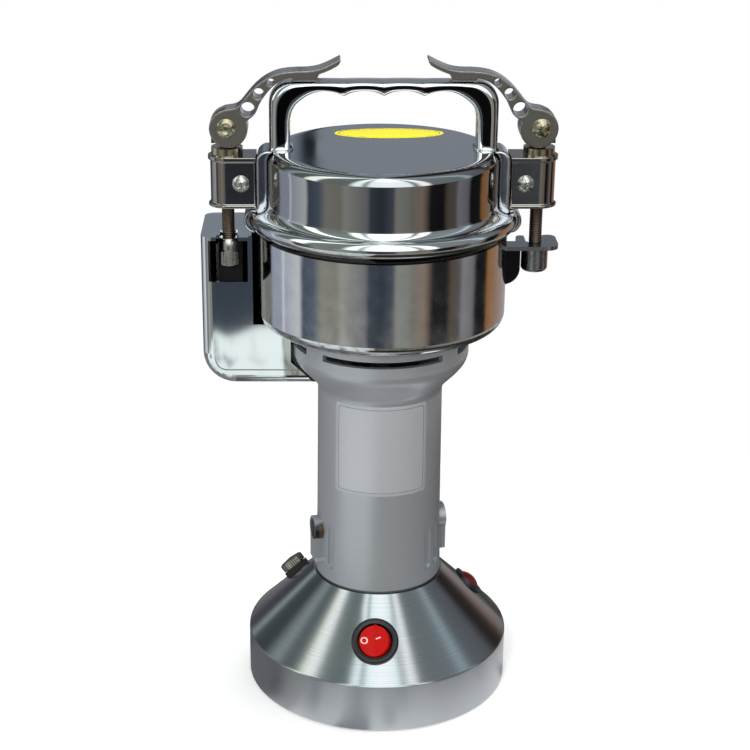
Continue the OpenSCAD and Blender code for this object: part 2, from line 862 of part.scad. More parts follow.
// Fuse holder with its screw cap and fuse link
fuse_body_r = fuse_r - 1;
module fuse_holder() {
    color("#6a6c70")
        on_cone(fuse_az, fuse_at)
            difference() {
                union() {
                    translate([0, 0, -22])
                        cylinder(r = fuse_body_r, h = 24);
                    translate([0, 0, -flat_cut])
                        cylinder(r = fuse_r + 0.8, h = 2.3, $fn = 6);
                }
                translate([0, 0, -21])
                    cylinder(r = 2.9, h = 30);
                translate([0, 0, -6])
                    cylinder(r = 3.7, h = 20);
            }
}
fuse_cap_z = 2.1;
module fuse_cap() {
    color("#3c3c40")
        on_cone(fuse_az, fuse_at)
            difference() {
                union() {
                    translate([0, 0, fuse_cap_z])
                        cylinder(r = fuse_r, h = 3.4);
                    translate([0, 0, fuse_cap_z + 3.4])
                        cylinder(r1 = fuse_r, r2 = fuse_r - 1, h = 1);
                    translate([0, 0, -5.5])
                        cylinder(r = 3.6, h = 8);
                }
                translate([0, 0, -6])
                    cylinder(r = 2.6 + run_gap, h = 7);
                translate([-5, -0.6, fuse_cap_z + 3.5])
                    cube([10, 1.2, 2]);
            }
}
module fuse_link() {
    color("#d8d0a0")
        on_cone(fuse_az, fuse_at)
            translate([0, 0, -19.5])
                cylinder(r = 2.6, h = 20);
}

// Overload reset button
module reset_body() {
    color("#121212")
        on_cone(reset_az)
            difference() {
                union() {
                    translate([0, 0, -16])
                        cylinder(r = reset_r + 0.6, h = 17);
                    translate([0, 0, -flat_cut])
                        cylinder(r = reset_r + 2.2, h = 1.6);
                }
                translate([0, 0, -5])
                    cylinder(r = reset_r + run_gap, h = 10);
            }
}
module reset_button() {
    color("#701418")
        on_cone(reset_az)
            rotate_extrude()
                polygon(concat([[0, -1.8], [reset_r, -1.8]],
                    arc([0, 1.2 - reset_r * 1.1], sqrt(reset_r * reset_r + pow(reset_r * 1.1, 2)),
                        acos(reset_r / sqrt(reset_r * reset_r + pow(reset_r * 1.1, 2))), 90, 6)));
}

// Rotor: shaft, wound armature, commutator and fan
shaft_z0 = lower_bearing_z - 2.5;
shaft_z1 = 189;
module motor_shaft() {
    color("#a8aaac")
        union() {
            translate([0, 0, shaft_z0])
                cylinder(r = shaft_r, h = 181 - shaft_z0);
            translate([0, 0, 181])
                cylinder(r = shaft_r - 0.8, h = shaft_z1 - 181);
        }
}
armature_slots = 12;
module armature_core() {
    color("#787c80")
        difference() {
            translate([0, 0, stack_z])
                cylinder(r = armature_r, h = stack_h);
            translate([0, 0, stack_z - 1])
                cylinder(r = shaft_r + run_gap, h = stack_h + 2);
            for (i = [0:armature_slots - 1])
                rotate([0, 0, i * 360 / armature_slots]) {
                    translate([armature_r - 4, 0, stack_z - 1])
                        cylinder(r = 1.5, h = stack_h + 2);
                    translate([armature_r - 4, -0.5, stack_z - 1])
                        cube([6, 1, stack_h + 2]);
                }
        }
}
module armature_winding() {
    color("#b8682c")
        for (z = [stack_z - 7, stack_z + stack_h])
            ring(armature_r - 1.6, shaft_r + run_gap, z, 7);
}
module commutator() {
    color("#c07840")
        difference() {
            ring(commutator_r, shaft_r + run_gap, brush_z - 6, 12);
            for (i = [0:23])
                rotate([0, 0, i * 15])
                    translate([commutator_r - 0.6, -0.2, brush_z - 7])
                        cube([2, 0.4, 14]);
        }
}
fan_z = stack_z + stack_h + 8;
module cooling_fan() {
    fan_r = neck_bore_r - 1.2;
    color("#2a2a2c")
        difference() {
            union() {
                translate([0, 0, fan_z])
                    cylinder(r = fan_r, h = 1.4);
                translate([0, 0, fan_z])
                    cylinder(r = 7, h = 8);
                for (i = [0:fan_blades - 1])
                    rotate([0, 0, i * 360 / fan_blades])
                        translate([9, -0.6, fan_z])
                            rotate([0, 0, 12])
                                cube([fan_r - 10, 1.2, 6.5]);
            }
            translate([0, 0, fan_z - 1])
                cylinder(r = shaft_r + run_gap, h = 12);
        }
}

// Cutting gear: hub, two crossed blades and the cap nut
hub_z = bowl_z0 + bowl_floor + 1.4;
blade_z = 177;
module blade_hub() {
    color("#b4b6b8")
        ring(6.5, shaft_r + run_gap, hub_z, blade_z - hub_z);
}
module blade(span, lift, z) {
    half = span / 2;
    flat = half - 13;
    difference() {
        union() {
            for (s = [0, 180])
                rotate([0, 0, s]) {
                    translate([0, 0, z])
                        linear_extrude(blade_t)
                            polygon([[-1, -blade_w / 2], [7, -blade_w / 2], [flat, -blade_w / 2 + 2.5],
                                [flat, blade_w / 2 - 2.5], [7, blade_w / 2], [-1, blade_w / 2]]);
                    translate([flat, 0, z])
                        rotate([0, -lift, 0])
                            translate([-0.2, 0, 0])
                                linear_extrude(blade_t)
                                    polygon([[0, -blade_w / 2 + 2.5], [13, -blade_w / 2 + 5],
                                        [12, blade_w / 2 - 3.5], [0, blade_w / 2 - 2.5]]);
                }
        }
        translate([0, 0, z - 1])
            cylinder(r = shaft_r + run_gap, h = 6);
        for (s = [0, 180])
            rotate([0, 0, s])
                translate([12, blade_w / 2 - 0.6, z + blade_t])
                    rotate([45, 0, -7.8])
                        cube([flat - 12, 3, 3]);
    }
}
module lower_blade() {
    color("#c8ccd0")
        blade(blade_span, 18, blade_z);
}
module upper_blade() {
    color("#c8ccd0")
        rotate([0, 0, 90])
            blade(blade_span - 10, -8, blade_z + blade_t);
}
module blade_nut() {
    nut_z = blade_z + 2 * blade_t + 0.4;
    color("#b8bcc0")
        difference() {
            union() {
                translate([0, 0, nut_z])
                    cylinder(r = 6.2, h = 5, $fn = 6);
                translate([0, 0, nut_z - 0.4])
                    cylinder(r = 6, h = 0.9);
                translate([0, 0, nut_z + 5])
                    sphere(r = 5);
            }
            translate([0, 0, nut_z - 5])
                cylinder(r = 20, h = 4.6);
            translate([0, 0, nut_z - 3])
                cylinder(r = shaft_r + run_gap, h = 181 - nut_z + 3.1);
            translate([0, 0, nut_z - 3])
                cylinder(r = shaft_r - 0.8 + run_gap, h = shaft_z1 - nut_z + 3.2);
        }
}

// Lid: spun cover with rolled bead, turning lid ring and centring spigot
lid_z0 = bowl_top + lid_gap;
bead_z = lid_z0 + 2.2 + bead_r;
bead_x = bowl_r + 0.4;
spigot_r = bowl_r - bowl_wall - 0.4;
spigot_z = lid_z0 - 4.6;
gasket_in = bowl_r - bowl_wall - 0.2;
gasket_out = bowl_r - 0.6;
gasket_t = 2;
module lid_outer() {
    difference() {
        union() {
            polygon(concat(
                [[0, lid_z0], [bowl_r + 0.2, lid_z0], [bowl_r + 0.2, bead_z + 1.5], [lid_r, bead_z + 6.5]],
                arc([lid_r - lid_corner, lid_top - lid_corner], lid_corner, 0, 90, 6),
                [[0, lid_top]]));
            translate([bead_x, bead_z])
                circle(r = bead_r);
        }
        translate([lid_r + 4.2, bead_z + 6.2])
            circle(r = 4.2);
    }
}
module lid_inner() {
    inner_r = lid_r - lid_wall;
    corner = lid_corner - lid_wall * 0.8;
    polygon(concat(
        [[0, spigot_z - 1], [spigot_r - lid_wall, spigot_z - 1], [spigot_r - lid_wall, bead_z],
        [inner_r, bead_z + 4]],
        arc([inner_r - corner, lid_top - lid_wall - corner], corner, 0, 90, 4),
        [[0, lid_top - lid_wall]]));
}
module lid_shell() {
    color("#c4c8cc")
        difference() {
            rotate_extrude()
                difference() {
                    union() {
                        lid_outer();
                        translate([0, spigot_z])
                            square([spigot_r, lid_z0 - spigot_z + 0.1]);
                    }
                    lid_inner();
                    translate([gasket_in - seat, lid_z0 - 0.1])
                        square([gasket_out - gasket_in + 2 * seat, gasket_t + 0.1]);
                }
            for (s = [-1, 1])
                for (y = [-1, 1])
                    translate([s * foot_x, y * foot_screw_y, lid_top - 5])
                        cylinder(r = 1.7, h = 8);
        }
}
module lid_gasket() {
    color("#e4e4e0")
        ring(gasket_out, gasket_in, lid_z0, gasket_t);
}

// Handle: cast bail with finger ridges under the grip and a channel in both faces
leg_inner = handle_w / 2 - leg_w;
bar_under = handle_top - 3.3;
finger_r = (finger_pitch * finger_pitch / 4 + finger_h * finger_h) / (2 * finger_h);
function skip(p) = [for (i = [1:len(p) - 1]) p[i]];
function flip(p) = [for (i = [len(p) - 1:-1:0]) [-p[i][0], p[i][1]]];
function finger_half(grow) =
    let(w = leg_inner + grow, side = w - finger_pitch, top = bar_under + grow,
        half = asin(finger_pitch / 2 / finger_r))
    concat([[w, lid_top - 5]],
        spline([[w, top - 13], [w - 0.04 * side, top - 8.5], [w - 0.15 * side, top - 4.8],
            [w - 0.38 * side, top - 1.4], [w - 0.62 * side, top - 0.1], [w - 0.84 * side, top - 0.7],
            [finger_pitch, top - finger_h]]),
        skip(arc([finger_pitch / 2, top - finger_r], finger_r, 90 - half, 90 + half, 8)));
module handle_outer(inset = 0) {
    w = handle_w / 2 - inset;
    c = handle_corner - inset;
    top = handle_top - inset;
    polygon(concat([[-w, lid_top]], arc([-w + c, top - c], c, 180, 90, 8),
        arc([w - c, top - c], c, 90, 0, 8), [[w, lid_top]]));
}
module handle_inner(grow = 0) {
    polygon(concat(finger_half(grow), skip(flip(finger_half(grow)))));
}
foot_x = leg_inner + leg_w / 2;
foot_screw_y = 3.2;
channel_depth = 1.1;
module handle() {
    color("#d0d4d8")
        difference() {
            union() {
                difference() {
                    extruded_xz(handle_d)
                        handle_outer();
                    extruded_xz(handle_d + 2)
                        handle_inner();
                }
                for (s = [-1, 1])
                    scale([s, 1, 1])
                        translate([foot_x, 0, lid_top]) {
                            translate([-leg_w / 2 - 1.6, -handle_d / 2 - 0.6, 0])
                                cube([leg_w + 2.2, handle_d + 1.2, 2]);
                            translate([-leg_w / 2 - 1.6, 0, 0])
                                cylinder(r = 3.4, h = 2);
                        }
            }
            for (face = [-1, 1])
                translate([0, face * (handle_d / 2 - channel_depth / 2 + 0.5), 0])
                    difference() {
                        extruded_xz(channel_depth + 1)
                            handle_outer(1.9);
                        extruded_xz(channel_depth + 3)
                            handle_inner(1.6);
                        translate([-far / 2, -5, lid_top - 1])
                            cube([far, 10, 5]);
                    }
            for (s = [-1, 1])
                for (y = [-1, 1])
                    translate([s * foot_x, y * foot_screw_y, lid_top - 1])
                        cylinder(r = 1.5, h = 9);
        }
}
module handle_screws() {
    color("#b0b0b0")
        for (s = [-1, 1])
            for (y = [-1, 1])
                translate([s * foot_x, y * foot_screw_y, lid_top - lid_wall - 1.2]) {
                    cylinder(r = 1.8, h = 1.2);
                    cylinder(r = 1.4, h = 9);
                }
}

// Lid ears: cast brackets whose bosses guide the clamp rods inside the sleeves
ear_half = 8.2;
ear_x = lid_r + 4;
boss_half = sleeve_r - sleeve_wall - seat;
boss_z0 = sleeve_z0 + 1.6;
boss_z1 = sleeve_z1 - 2;
rod_bore = rod_r + free_gap;
module d_block(half, x0, z0, h) {
    translate([x0, -half, z0])
        cube([rod_x - x0, 2 * half, h]);
    translate([rod_x, 0, z0])
        cylinder(r = half, h = h);
}
module ear() {
    lobe = 4.6;
    foot_r = 5.2;
    lobe_z = lid_top - 4.2;
    difference() {
        union() {
            translate([lid_r - 2, -ear_half, bead_z])
                cube([ear_x - lid_r + 2, 2 * ear_half, lobe_z - bead_z]);
            translate([ear_x - lobe, 0, lobe_z])
                along_y(lobe, -ear_half, ear_half);
            translate([bead_x - 0.2, 0, sleeve_z0 - 0.4 - foot_r])
                along_y(foot_r, -ear_half + 1, ear_half - 1);
            d_block(boss_half, ear_x - 1, boss_z0 + seat, boss_z1 - boss_z0 - 2 * seat);
        }
        rotate_extrude()
            union() {
                lid_outer();
                translate([0, lid_z0 - 10])
                    square([bowl_r + 1, 12]);
            }
        translate([rod_x, 0, sleeve_z0 - 1])
            cylinder(r = rod_bore, h = 40);
        translate([screw_x, 0, screw_z])
            along_y(1.6, -20, 20);
        translate([handle_w / 2 - leg_w - 3, -handle_d / 2 - 0.7, lid_top - 0.1])
            cube([leg_w + 3.8, handle_d + 1.4, 8]);
    }
}
module lid_ears() {
    color("#4c4e52")
        for (s = [-1, 1])
            scale([s, 1, 1])
                ear();
}

// Clamp sleeves: folded chrome shells round the bosses, with flanges
flange = 0.9;
module sleeve() {
    inner_x = ear_x + 0.5;
    difference() {
        union() {
            d_block(sleeve_r, inner_x, sleeve_z0, sleeve_z1 - sleeve_z0);
            d_block(sleeve_r + flange, inner_x - 0.3, boss_z1 + 0.1, sleeve_z1 - boss_z1 - 0.1);
            d_block(sleeve_r + flange, inner_x - 0.3, sleeve_z0, 1.3);
        }
        d_block(sleeve_r - sleeve_wall, inner_x - 5, boss_z0, boss_z1 - boss_z0);
        translate([rod_x, 0, sleeve_z0 - 1])
            cylinder(r = rod_bore, h = 40);
        translate([screw_x, 0, screw_z])
            along_y(1.6, -20, 20);
    }
}
module sleeve_right() {
    color("#46484c")
        sleeve();
}
module sleeve_left() {
    color("#46484c")
        mirror([1, 0, 0])
            sleeve();
}
module sleeve_screws() {
    color("#d4d4d4")
        for (s = [-1, 1])
            translate([s * screw_x, 0, screw_z]) {
                along_y(1.5, -sleeve_r - 0.5, sleeve_r + 2.4);
                translate([0, -sleeve_r, 0])
                    rotate([90, 0, 0])
                        intersection() {
                            cylinder(r = 3.5, h = 4);
                            translate([0, 0, -2.6])
                                sphere(r = 4.4);
                        }
                translate([0, sleeve_r, 0])
                    rotate([-90, 0, 0])
                        cylinder(r = 3.2, h = 2.2, $fn = 6);
            }
}
cam_low = cam_r + cam_offset * sin(20);
seat_top = pin_z - cam_low - free_gap;
module cam_seats() {
    color("#8c8878")
        for (s = [-1, 1])
            translate([s * rod_x, 0, 0])
                ring(6.5, rod_bore, sleeve_z1, seat_top - sleeve_z1);
}

// Clamp rod with its eye between the lever's cheeks
eye_r = 6.3;
eye_z = seat_top + 1.8;
module rod(z0) {
    difference() {
        union() {
            translate([rod_x, 0, z0])
                cylinder(r = rod_r, h = eye_z - z0 + 1);
            translate([rod_x - eye_r, -eye_t / 2, eye_z])
                cube([2 * eye_r, eye_t, pin_z - eye_z]);
            translate([rod_x, 0, pin_z])
                along_y(eye_r, -eye_t / 2, eye_t / 2);
        }
        translate([rod_x, 0, pin_z])
            along_y(pin_r + run_gap, -eye_t, eye_t);
    }
}
nut_right_z = lug_z - free_gap;
nut_right_h = 10.2;
nut_left_h = 12.3;
module rod_right() {
    color("#5c5048")
        rod(nut_right_z - nut_right_h + 1.5);
}
module rod_left() {
    color("#5c5048")
        mirror([1, 0, 0])
            rod(nut_left_top - nut_left_h + 1.5);
}
module nut_right() {
    color("#6c6e72")
        translate([rod_x, 0, nut_right_z])
            rotate_extrude()
                polygon([[rod_r + run_gap, -nut_right_h], [nut_r - 1, -nut_right_h],
                    [nut_r, -nut_right_h + 1], [nut_r, 0], [rod_r + run_gap, 0]]);
}
module nut_left() {
    collar_h = 5.2;
    color("#8c8c8c")
        translate([-rod_x, 0, nut_left_top])
            rotate_extrude()
                polygon([[rod_r + run_gap, -nut_left_h], [nut_left_r - 0.8, -nut_left_h],
                    [nut_left_r, -nut_left_h + 0.8], [nut_left_r, -collar_h - 0.4],
                    [nut_left_r - 0.6, -collar_h], [nut_left_r - 0.2, -collar_h + 0.5],
                    [nut_left_r - 0.2, 0], [rod_r + run_gap, 0]]);
}

// Cam lever: drop-forged, with three lightening holes and a stop pad over the handle
lever_top = [[-3.2, 5.6], [-0.9, 7.5], [3.6, 8.3], [6.1, 9.9], [8.6, 13], [12, 16.8], [16.2, 20.1],
    [21.1, 22.3], [26.8, 23.2], [33.1, 23.4], [37.8, 24.2], [42.4, 26.1], [46.4, 28.2]];
lever_under = [[46.6, 27.2], [45.4, 25.4], [41.5, 23.3], [36.7, 21.6], [31, 20.9], [25.2, 20], [21.1, 18.3],
    [17.8, 15.5], [14.2, 10.6], [12.2, 6.2], [10, 4], [6.5, 1.5]];
// lightening holes: place from the pin and radius
lever_holes = [[[-8.9, 7.8], 2.9], [[-13.4, 14.2], 2.2], [[-18.4, 18.8], 1.5]];
pad_under = handle_top + 0.5 - pin_z;
module lever() {
    cheek = eye_t / 2 + free_gap;
    slot_r = eye_r + 0.7;
    translate([rod_x, 0, pin_z])
        difference() {
            union() {
                translate([-cam_offset * cos(20), 0, -cam_offset * sin(20)])
                    along_y(cam_r, -lever_w / 2, lever_w / 2);
                extruded_xz(lever_w)
                    mirror([1, 0])
                        polygon(concat(spline(lever_top), spline(lever_under)));
                extruded_xz(lever_w)
                    mirror([1, 0])
                        polygon([[27, pad_under + 0.6], [27.6, pad_under], [36.8, pad_under],
                            [38, 22.4], [33, 22], [27, 21.4]]);
            }
            along_y(slot_r, -cheek, cheek);
            extruded_xz(2 * cheek)
                polygon(concat([[0, 0]], arc([0, 0], 16, -156, 86, 12)));
            along_y(pin_r, -lever_w, lever_w);
            for (hole = lever_holes)
                translate([hole[0][0], 0, hole[0][1]])
                    along_y(hole[1], -lever_w, lever_w);
        }
}
module lever_right() {
    color("#5a5a58")
        lever();
}
module lever_left() {
    color("#5a5a58")
        mirror([1, 0, 0])
            lever();
}
pin_head_r = 4.1;
module cam_pin() {
    translate([rod_x, 0, pin_z]) {
        along_y(pin_r, -lever_w / 2 - 0.1, lever_w / 2 + 0.1);
        for (s = [0, 180])
            rotate([0, 0, s])
                translate([0, -lever_w / 2, 0])
                    rotate([90, 0, 0])
                        intersection() {
                            cylinder(r = pin_head_r, h = 4);
                            translate([0, 0, -4.6])
                                sphere(r = 6.1);
                        }
    }
}
module pin_right() {
    color("#b0a890")
        cam_pin();
}
module pin_left() {
    color("#a89c88")
        mirror([1, 0, 0])
            cam_pin();
}

base_shell();
foot_pad();
bottom_plate();
base_screws();
cord_gland();
terminal_block();
neck_gasket();
motor_housing();
bearing_bridge();
lower_bearing();
stator_core();
field_coils();
brush_holders();
carbon_brushes();
brush_caps();
upper_bearing();
bowl_carrier();
bowl();
bowl_screws();
shaft_seal();
lug();
interlock_cover();
interlock_gasket();
microswitch();
switch_bracket();
switch_bezel();
fuse_holder();
reset_body();
motor_shaft();
armature_core();
armature_winding();
commutator();
cooling_fan();
blade_hub();
lower_blade();
upper_blade();
blade_nut();
lid_shell();
lid_gasket();
handle();
handle_screws();
lid_ears();
sleeve_right();
sleeve_left();
sleeve_screws();
cam_seats();
rod_right();
nut_right();
lever_right();
pin_right();
rod_left();
nut_left();
lever_left();
pin_left();
rocker();
fuse_cap();
fuse_link();
reset_button();
microswitch_plunger();
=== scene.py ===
import math

import bpy
import numpy as np
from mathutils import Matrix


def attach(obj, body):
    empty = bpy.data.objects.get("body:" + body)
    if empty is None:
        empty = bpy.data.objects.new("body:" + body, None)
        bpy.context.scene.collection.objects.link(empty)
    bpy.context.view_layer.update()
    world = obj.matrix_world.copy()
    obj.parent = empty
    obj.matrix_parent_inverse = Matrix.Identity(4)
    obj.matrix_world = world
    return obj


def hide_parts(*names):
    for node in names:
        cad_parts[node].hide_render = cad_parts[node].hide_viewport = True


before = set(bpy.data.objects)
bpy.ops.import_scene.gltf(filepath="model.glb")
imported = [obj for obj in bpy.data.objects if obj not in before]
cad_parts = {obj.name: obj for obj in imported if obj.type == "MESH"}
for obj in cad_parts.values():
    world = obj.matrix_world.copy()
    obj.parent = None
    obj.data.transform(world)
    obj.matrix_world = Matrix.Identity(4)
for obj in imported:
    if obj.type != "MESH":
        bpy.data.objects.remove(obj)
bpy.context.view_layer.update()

scene = bpy.context.scene
camera_data = bpy.data.cameras.new("camera")
camera_data.sensor_width = 36.0
camera_data.lens = 83.42
camera_data.shift_x = 0.0713
camera_data.clip_start = 0.01
camera = bpy.data.objects.new("camera", camera_data)
camera.location = (-0.0253, -0.700, 0.414)
camera.rotation_euler = (math.radians(68.8), 0.0, 0.0)
scene.collection.objects.link(camera)
scene.camera = camera
scene.view_settings.view_transform = "Standard"


# Studio: a pale floor, one large soft lamp at each side and one above, and a room whose tall
# light and dark panels stand all round, as polished steel shows little without them.
def linear(hex_colour):
    """sRGB hex to linear RGBA: each channel c becomes c / 12.92 up to 0.04045, and beyond that
    ((c + 0.055) / 1.055) ^ 2.4."""
    channels = [int(hex_colour[i:i + 2], 16) / 255 for i in (1, 3, 5)]
    return tuple(c / 12.92 if c <= 0.04045 else ((c + 0.055) / 1.055) ** 2.4
                 for c in channels) + (1.0,)


def add_node(tree, kind, settings=None, links=None):
    """Adds a shader node; kind is its type without ShaderNode. settings names properties or
    sockets and their values, and under "stops" a ramp's pairs of place and hex colour. links names
    input sockets and the output sockets that feed them."""
    node = tree.nodes.new("ShaderNode" + kind)
    for key, value in (settings or {}).items():
        if key == "stops":
            elements = node.color_ramp.elements
            while len(elements) > 1:
                elements.remove(elements[-1])
            for i, (place, colour) in enumerate(value):
                stop = elements[0] if i == 0 else elements.new(place)
                stop.position = place
                stop.color = linear(colour)
        elif isinstance(key, str) and hasattr(node, key):
            setattr(node, key, value)
        else:
            node.inputs[key].default_value = value
    for key, source in (links or {}).items():
        tree.links.new(source, node.inputs[key])
    return node


# the numbers of a Mix node's colour sockets: its share, the two colours in and the colour out
share_in, first_in, second_in, mixed_out = 0, 6, 7, 2
world = bpy.data.worlds.new("studio")
scene.world = world
world.use_nodes = True
sky = world.node_tree
sky.nodes.clear()
ray = add_node(sky, "TexCoord")
split = add_node(sky, "SeparateXYZ", links={0: ray.outputs["Generated"]})
# places on both ramps go once round the mill: 0 and 1 lie straight behind it, 0.25 on its left,
# 0.5 in front and 0.75 on its right
frontward = add_node(sky, "Math", {"operation": "MULTIPLY", 1: -1.0},
                     {0: split.outputs["Y"]})
bearing = add_node(sky, "Math", {"operation": "ARCTAN2"},
                   {0: split.outputs["X"], 1: frontward.outputs[0]})
turn = add_node(sky, "MapRange", {"From Min": -math.pi, "From Max": math.pi},
                {"Value": bearing.outputs[0]})
panels = add_node(sky, "ValToRGB", {"stops": [
    (0.0, "#8f9096"), (0.03, "#44444c"), (0.15, "#4c4c54"), (0.163, "#9094a0"), (0.205, "#9498a4"),
    (0.211, "#d4d8dc"), (0.217, "#9ea0aa"), (0.27, "#bec0c0"), (0.281, "#434b58"),
    (0.315, "#525a66"), (0.338, "#84827a"), (0.38, "#7e7c72"), (0.393, "#92928a"),
    (0.455, "#6e6e70"), (0.463, "#3c424a"), (0.494, "#30363e"), (0.523, "#4a4e56"),
    (0.532, "#868680"), (0.564, "#7e7e76"), (0.572, "#76726a"), (0.603, "#827468"),
    (0.615, "#62564c"), (0.626, "#1c1b1f"), (0.665, "#161416"), (0.68, "#544a40"),
    (0.704, "#54504e"), (0.716, "#7e7c80"), (0.75, "#6c6a6e"), (0.762, "#14171a"), (0.8, "#1a1a1c"),
    (0.812, "#8a6038"), (0.96, "#8f9096")
]}, {"Fac": turn.outputs["Result"]})
# over the panels a ceiling of long cards, which give the rays on the turned cone; it takes over
# where a ray climbs by 6% to 16% of its length
ceiling = add_node(sky, "ValToRGB", {"stops": [
    (0.0, "#5a5f65"), (0.03, "#5a5f65"), (0.06, "#1e2022"), (0.09, "#282c2c"), (0.105, "#6c7474"),
    (0.115, "#8c9492"), (0.13, "#3c4244"), (0.17, "#343a3c"), (0.205, "#8c9492"),
    (0.225, "#4a5254"), (0.262, "#565e5c"), (0.272, "#f8fae8"), (0.302, "#ffffff"),
    (0.314, "#606a68"), (0.4, "#5e6866"), (0.418, "#f4fcfa"), (0.432, "#f4fcfa"),
    (0.446, "#7c8686"), (0.462, "#f0fcfa"), (0.52, "#ffffff"), (0.572, "#ecf8f6"),
    (0.584, "#545c5e"), (0.604, "#ffffff"), (0.62, "#ffffff"), (0.632, "#666c6c"),
    (0.73, "#666c6e"), (0.75, "#98a8ac"), (0.77, "#585c60"), (0.82, "#54565a"), (0.845, "#241f1e"),
    (0.94, "#181412"), (0.97, "#5a5f65")
]}, {"Fac": turn.outputs["Result"]})
overhead = add_node(sky, "MapRange", {"From Min": 0.06, "From Max": 0.16},
                    {"Value": split.outputs["Z"]})
brighter = add_node(sky, "VectorMath", {"operation": "SCALE", "Scale": 1.45},
                    {0: ceiling.outputs["Color"]})
room = add_node(sky, "Mix", {"data_type": "RGBA"},
                {share_in: overhead.outputs["Result"], first_in: panels.outputs["Color"],
                 second_in: brighter.outputs[0]})
# straight behind stands a narrow dark doorway, which shows in the lid's flat top: its ramp goes
# from left to right over 6% of its distance, for rays that run back by over 80% of their length
sideways = add_node(sky, "Math", {"operation": "DIVIDE"},
                    {0: split.outputs["X"], 1: split.outputs["Y"]})
doorway = add_node(sky, "MapRange", {"From Min": -0.03, "From Max": 0.03},
                   {"Value": sideways.outputs[0]})
dark = add_node(sky, "ValToRGB", {"stops": [
    (0.0, "#ffffff"), (0.24, "#e8eaee"), (0.34, "#484a54"), (0.44, "#2c2e38"), (0.455, "#ffffff")
]}, {"Fac": doorway.outputs["Result"]})
back = add_node(sky, "Math", {"operation": "GREATER_THAN", 1: 0.8},
                {0: split.outputs["Y"]})
whole_room = add_node(sky, "Mix", {"data_type": "RGBA", "blend_type": "MULTIPLY"},
                      {share_in: back.outputs[0], first_in: room.outputs[mixed_out],
                       second_in: dark.outputs["Color"]})
# glossy rays see that room, the camera plain white, and all other rays an even light
reflected = add_node(sky, "Background", {"Strength": 1.5},
                     {"Color": whole_room.outputs[mixed_out]})
even = add_node(sky, "Background", {"Color": linear("#ffffff"), "Strength": 0.53})
white = add_node(sky, "Background", {"Color": linear("#ffffff"), "Strength": 1.0})
path = add_node(sky, "LightPath")
lit = add_node(sky, "MixShader", links={
    0: path.outputs["Is Glossy Ray"], 1: even.outputs[0], 2: reflected.outputs[0]})
shown = add_node(sky, "MixShader", links={
    0: path.outputs["Is Camera Ray"], 1: lit.outputs[0], 2: white.outputs[0]})
add_node(sky, "OutputWorld", links={"Surface": shown.outputs[0]})


def softbox(name, place, aim, width, height, watts):
    """A rectangular area lamp at place, facing the point aim, in metres. It hangs behind the
    cards, so polished metal shows the cards in its place."""
    data = bpy.data.lights.new(name, "AREA")
    data.shape = "RECTANGLE"
    data.size = width
    data.size_y = height
    data.energy = watts
    lamp = bpy.data.objects.new(name, data)
    lamp.location = place
    away = np.array(place) - np.array(aim)
    lamp.rotation_euler = (math.atan2(math.hypot(away[0], away[1]), away[2]), 0.0,
                           math.atan2(away[0], -away[1]))
    lamp.visible_glossy = False
    scene.collection.objects.link(lamp)


neck_middle, neck_top = (0.0, 0.0, 0.15), (0.0, 0.0, 0.2)
softbox("softbox_left", (-0.3, -0.92, 0.65), neck_middle, width=0.35, height=0.6, watts=9.6)
softbox("softbox_right", (0.8, -0.35, 0.65), neck_middle, width=0.25, height=0.6, watts=0.6)
softbox("softbox_top", (0.1, 0.15, 1.0), neck_top, width=0.5, height=0.5, watts=5.0)

far = 4.0
floor_mesh = bpy.data.meshes.new("floor")
floor_mesh.from_pydata([(-far, -far, 0.0), (far, -far, 0.0), (far, far, 0.0), (-far, far, 0.0)],
                       [], [(0, 1, 2, 3)])
floor = bpy.data.objects.new("floor", floor_mesh)
scene.collection.objects.link(floor)


# The floor is matt white paper with the mill's shadow on it. To the camera it fades out into the
# white background. Polished metal sees a painted reflection there instead, a glowing disc 0.48 m
# in radius, with painted shade in soft rings that darken close to the mill and further out on its
# right.
def new_finish(name, colour, metallic, roughness, **sockets):
    """A material with a Principled shader. Returns the material, its tree and the shader. An
    underscore in a socket's name stands for a space."""
    finish = bpy.data.materials.new(name)
    finish.use_nodes = True
    tree = finish.node_tree
    tree.nodes.clear()
    shader = add_node(tree, "BsdfPrincipled", {
        "Base Color": linear(colour), "Metallic": metallic, "Roughness": roughness})
    for key, value in sockets.items():
        shader.inputs[key.replace("_", " ")].default_value = value
    add_node(tree, "OutputMaterial", links={"Surface": shader.outputs[0]})
    return finish, tree, shader


def grain_bump(tree, shader, grain_mm, relief, depth_mm, stretch=(1.0, 1.0, 1.0), detail=3.0):
    """Relief from noise in Object space: grains grain_mm wide, depth_mm deep times the share
    relief, which run along an axis where stretch is small. Returns the noise's output."""
    place = add_node(tree, "TexCoord")
    stretched = add_node(tree, "Mapping", {"Scale": stretch},
                         {"Vector": place.outputs["Object"]})
    noise = add_node(tree, "TexNoise", {"Scale": 1000.0 / grain_mm, "Detail": detail},
                     {"Vector": stretched.outputs[0]})
    bump = add_node(tree, "Bump", {"Strength": relief, "Distance": depth_mm / 1000},
                    {"Height": noise.outputs[0]})
    tree.links.new(bump.outputs[0], shader.inputs["Normal"])
    return noise.outputs[0]


